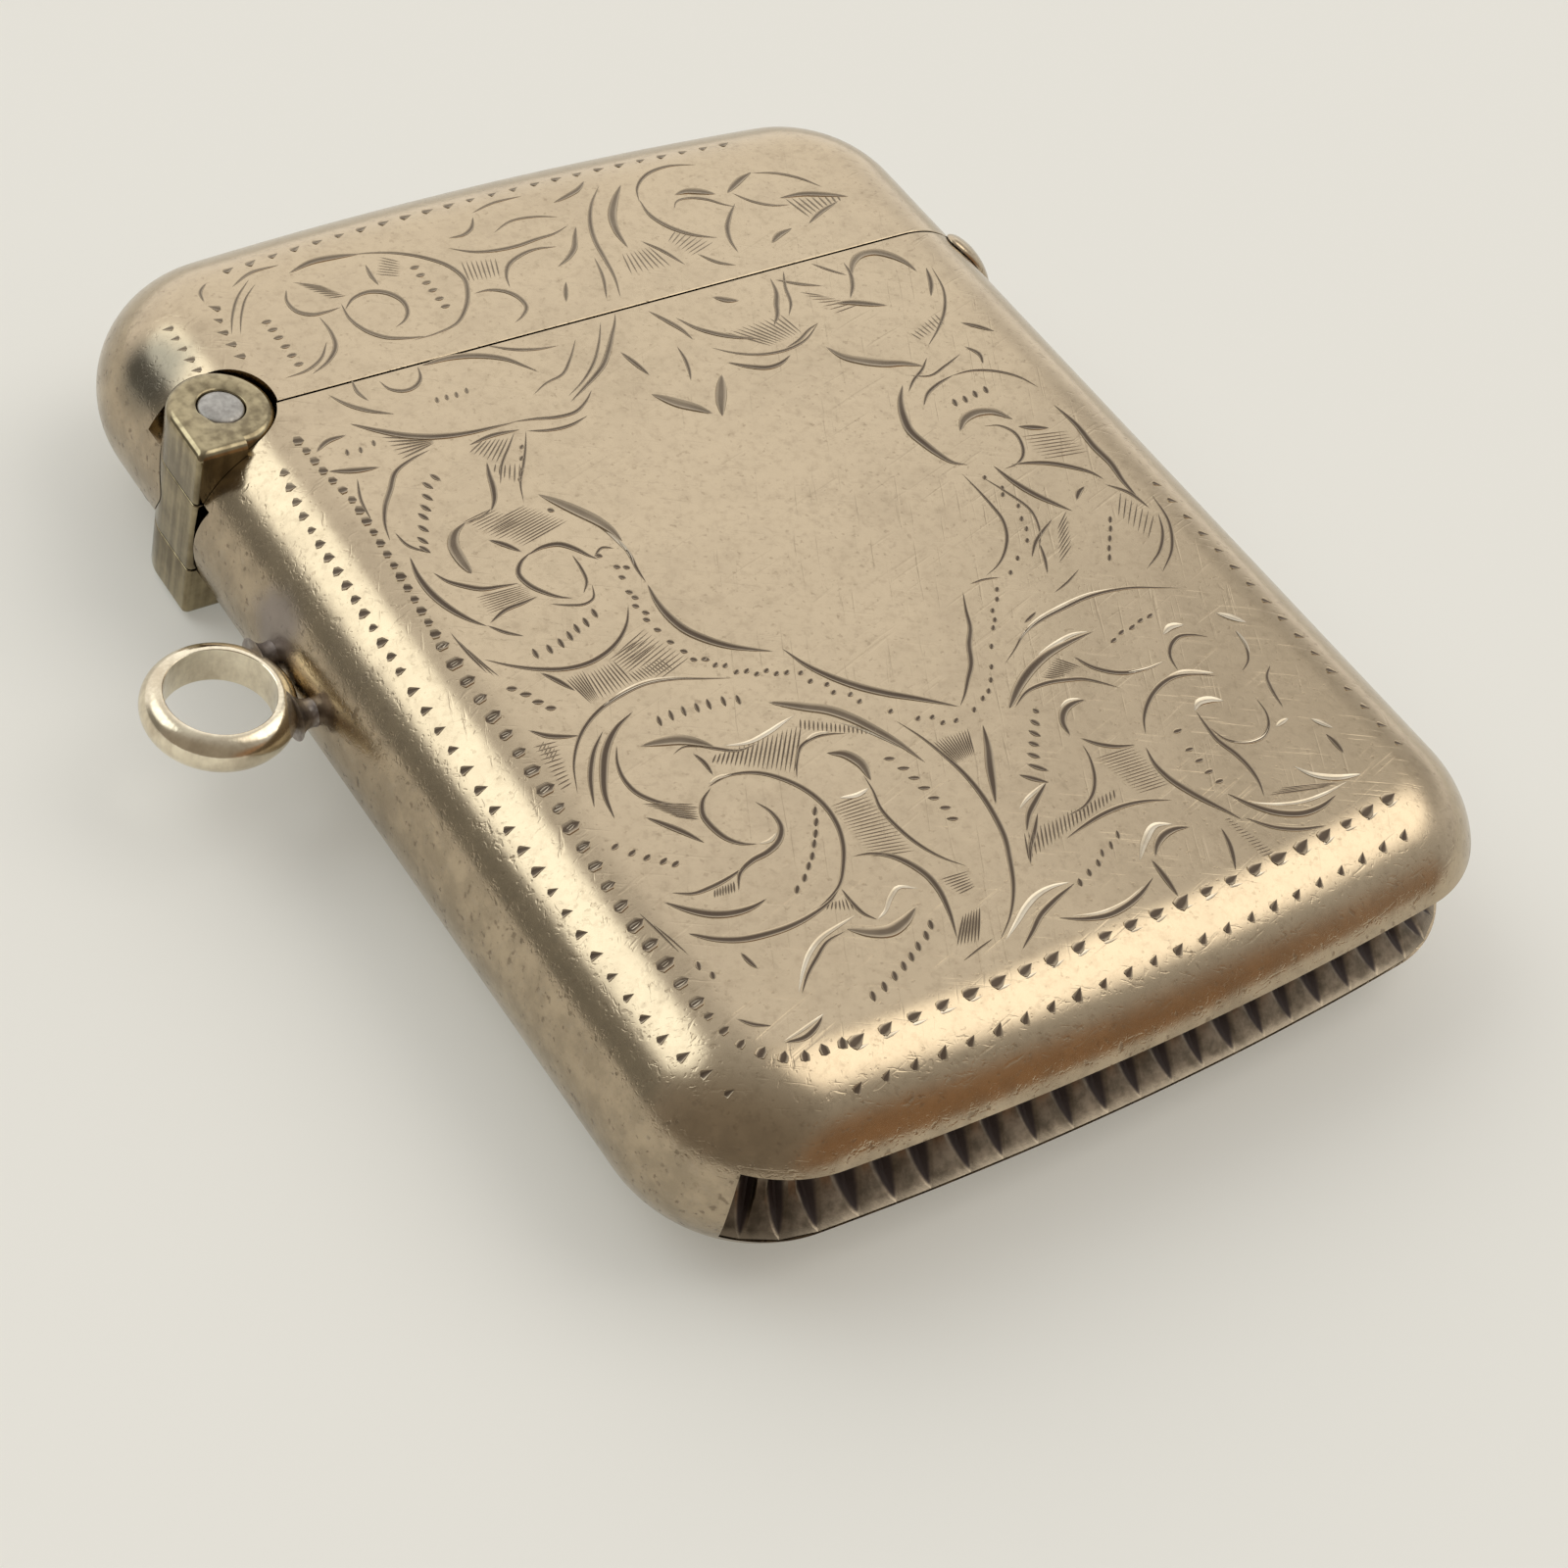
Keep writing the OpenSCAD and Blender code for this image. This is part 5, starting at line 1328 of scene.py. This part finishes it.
# Pale colours of the bright cuts, which also paint highlights.
BURNISHED_GLINT, BURNISHED_GLINT_DULL = (0.54, 0.48, 0.385), (0.42, 0.355, 0.265)
FILED, FILED_DARK = (0.22, 0.175, 0.13), (0.10, 0.08, 0.058)
RUBBED_LIP, SOOT = (0.32, 0.27, 0.205), (0.04, 0.025, 0.022)


def floor_value(place):
    """How deep in a cut the place lies, from the value that the cuts' points carry."""
    return place.node("Attribute", {"attribute_name": "floor"}, out=2)


def cut_tarnish():
    """Brown on the floors, silver on the burrs, and paler towards the lid end."""
    material, place, shader = finish("cut_tarnish")
    depth = floor_value(place)
    worn = noise(place, 0.5)
    # The cuts fade paler towards the lid end, by place alone.
    toward_lid = axis(place, 1).band(1.0, 14.0)
    dark = depth * (0.5 + 0.8 * worn) * (1.0 - 0.38 * toward_lid)
    fit(shader, Base_Color=dark.band(0.0, 0.9).mix(BURR, DIRT), Roughness=0.3 + 0.2 * depth,
        Metallic=1.0 - 0.45 * depth)
    return material


def glint_cut():
    """Burnished silver, paler than the face so that it also paints highlights, with a little
    cloudy wear.
    """
    material, place, shader = finish("glint_cut")
    worn = noise(place, 0.8)
    fit(shader, Base_Color=worn.band(0.35, 0.7).mix(BURNISHED_GLINT, BURNISHED_GLINT_DULL),
        Roughness=0.14 + 0.12 * worn)
    return material


def striker_silver():
    """Speckled metal with soot down in the cuts and a rubbed lip along the back."""
    material, place, shader = finish("striker_silver")
    specks = noise(place, 1.6, 4.0, 0.65)
    lip = 1.0 - (axis(place, 2) + 0.15 * specks).band(2.4, 2.58)
    soot = floor_value(place).band(0.12, 0.55)
    colour = specks.band(0.3, 0.7).mix(FILED, FILED_DARK)
    colour = soot.mix((0.7 * lip).mix(colour, RUBBED_LIP), SOOT)
    fit(shader, Base_Color=colour, Roughness=0.3 - 0.08 * lip + 0.25 * soot,
        Metallic=1.0 - 0.7 * soot)
    bumped(shader, specks, 0.1)
    return material


put_on(cut_tarnish(), body_cuts, shield_cuts, body_rim_cuts, lid_cuts, lid_rim_cuts)
# The bright cuts' pale finish paints highlights along the strokes.
put_on(glint_cut(), glint_cuts)
put_on(striker_silver(), striker)
print("cuts are tarnished, bright cuts polished")

# %% [markdown]
# The photograph looks down on the case from its near left corner. The camera's place
# and turn were worked out from points whose places on the case are known.

# %% Camera
CAMERA_AT = np.array([-58.804, -57.568, 81.921]) / 1000
RIGHT = np.array([0.81143, -0.54682, 0.20633])
DOWN = np.array([-0.29491, -0.68787, -0.66322])
AHEAD = np.array([0.50459, 0.47730, -0.71942])
camera = bpy.data.objects.new("camera", bpy.data.cameras.new("camera"))
bpy.context.scene.collection.objects.link(camera)
turn = np.eye(4)
turn[:3] = np.stack([RIGHT, -DOWN, -AHEAD, CAMERA_AT], 1)
camera.matrix_world = Matrix(turn.tolist())
camera.data.sensor_width, camera.data.lens = 36.0, 72.0
camera.data.shift_x, camera.data.shift_y = 0.0098, -0.0178
camera.data.clip_start, camera.data.clip_end = 0.005, 10.0
bpy.context.scene.camera = camera
print("camera at", [round(float(v) * 1000, 1) for v in CAMERA_AT], "mm")

# %% [markdown]
# A sheet of pale paper carries the shadow. In the photograph it is bright even there, so
# a quarter of what the camera and the mirrors see of it is its own glow, which lights
# nothing else.

# %% Floor
FLOOR_HALF, FLOOR_DROP = 3.0, 0.00002  # metres
PAPER, PAPER_GLOW = (0.875, 0.86, 0.835, 1), (0.86, 0.865, 0.785, 1)
GLOW_SHARE = 0.25
floor_mesh = bpy.data.meshes.new("floor")
signs = ((-1, -1), (1, -1), (1, 1), (-1, 1))
corners = [(x * FLOOR_HALF, y * FLOOR_HALF, -FLOOR_DROP) for x, y in signs]
floor_mesh.from_pydata(corners, [], [(0, 1, 2, 3)])
floor = bpy.data.objects.new("floor", floor_mesh)
bpy.context.scene.collection.objects.link(floor)
paper, _, paper_shader = finish("pale_paper", 0.0)
fit(paper_shader, Base_Color=PAPER, Roughness=0.95)
start = Value(paper.node_tree)
rays = [start.node("LightPath", out=f"Is {kind} Ray")
        for kind in ("Camera", "Glossy", "Transmission")]
looks = rays[0] + rays[1] + rays[2]
seen = GLOW_SHARE * looks.math("MINIMUM", looks, 1.0)
glow = start.node("Emission", None, {"Color": PAPER_GLOW, "Strength": 1.0})
plain = Value(paper.node_tree, paper_shader.outputs[0])
both = start.node("MixShader", None, {0: seen, 1: plain, 2: glow})
start.feed(paper.node_tree.nodes["Material Output"].inputs[0], both)
floor_mesh.materials.append(paper)
print("paper laid")

# %% [markdown]
# Silver is a mirror, so the look of the case is mostly what stands round it. A rectangle
# lamp would leave hard ends in the round edges, so the room is one sky: a pale wall
# beyond the case, a dark side where the viewer stands, a brown corner by the foot, a dim
# ceiling, and two windows with soft borders.

# %% Sky
DIM_ROOM, PALE_WALL = (0.50, 0.485, 0.46), (1.12, 1.10, 1.06)
SKY_STRENGTH = 1.1
# Share, turn and rise of the middle, inner and outer angle, and colour of each patch.
PATCHES = [
    (0.75, 0, 90, 8, 48, (0.42, 0.405, 0.38)),  # ceiling
    (1.0, -135, 10, 30, 95, (0.26, 0.225, 0.185)),  # the viewer's side
    (1.0, -65, 2, 13, 39, (0.32, 0.19, 0.105)),  # brown corner by the foot
    (0.85, 146, 10, 10, 23, (0.20, 0.195, 0.17)),  # dark sill under the left window
    (0.8, 14, 28, 8, 26, (0.42, 0.40, 0.37)),  # dull corner at the right
    (0.65, 22, 39, 4, 17, (0.50, 0.48, 0.45)),  # and its upper end
    (1.0, -9, 54, 11, 27, (2.0, 1.92, 1.76)),  # right window
    (1.0, 131, 44, 13, 24, (1.98, 2.06, 2.0)),  # left window
]
world = bpy.data.worlds.new("studio")
bpy.context.scene.world = world
world.use_nodes = True
sky = world.node_tree.nodes["Background"]
way = Value(world.node_tree).node("TexCoord", out=0)


def patch(turn, rise, inner, outer):
    """1 within inner degrees of a place in the room, turn from +X and rise up, falling
    smoothly to 0 at outer. It goes by the cosine of the angle to that place."""
    turn, rise, inner, outer = (float(np.radians(a)) for a in (turn, rise, inner, outer))
    aim = (np.cos(rise) * np.cos(turn), np.cos(rise) * np.sin(turn), np.sin(rise))
    near = way.node("VectorMath", {"operation": "DOT_PRODUCT"}, {0: way, 1: aim}, out=1)
    return near.band(np.cos(outer), np.cos(inner))


tone = patch(65, 20, 10, 95).mix(DIM_ROOM, PALE_WALL)
for share, turn, rise, inner, outer, colour in PATCHES:
    tone = (share * patch(turn, rise, inner, outer)).mix(tone, colour)
fit(sky, Color=tone, Strength=SKY_STRENGTH)
bpy.context.scene.view_settings.view_transform = "Standard"
print("studio lit by", len(PATCHES), "patches")
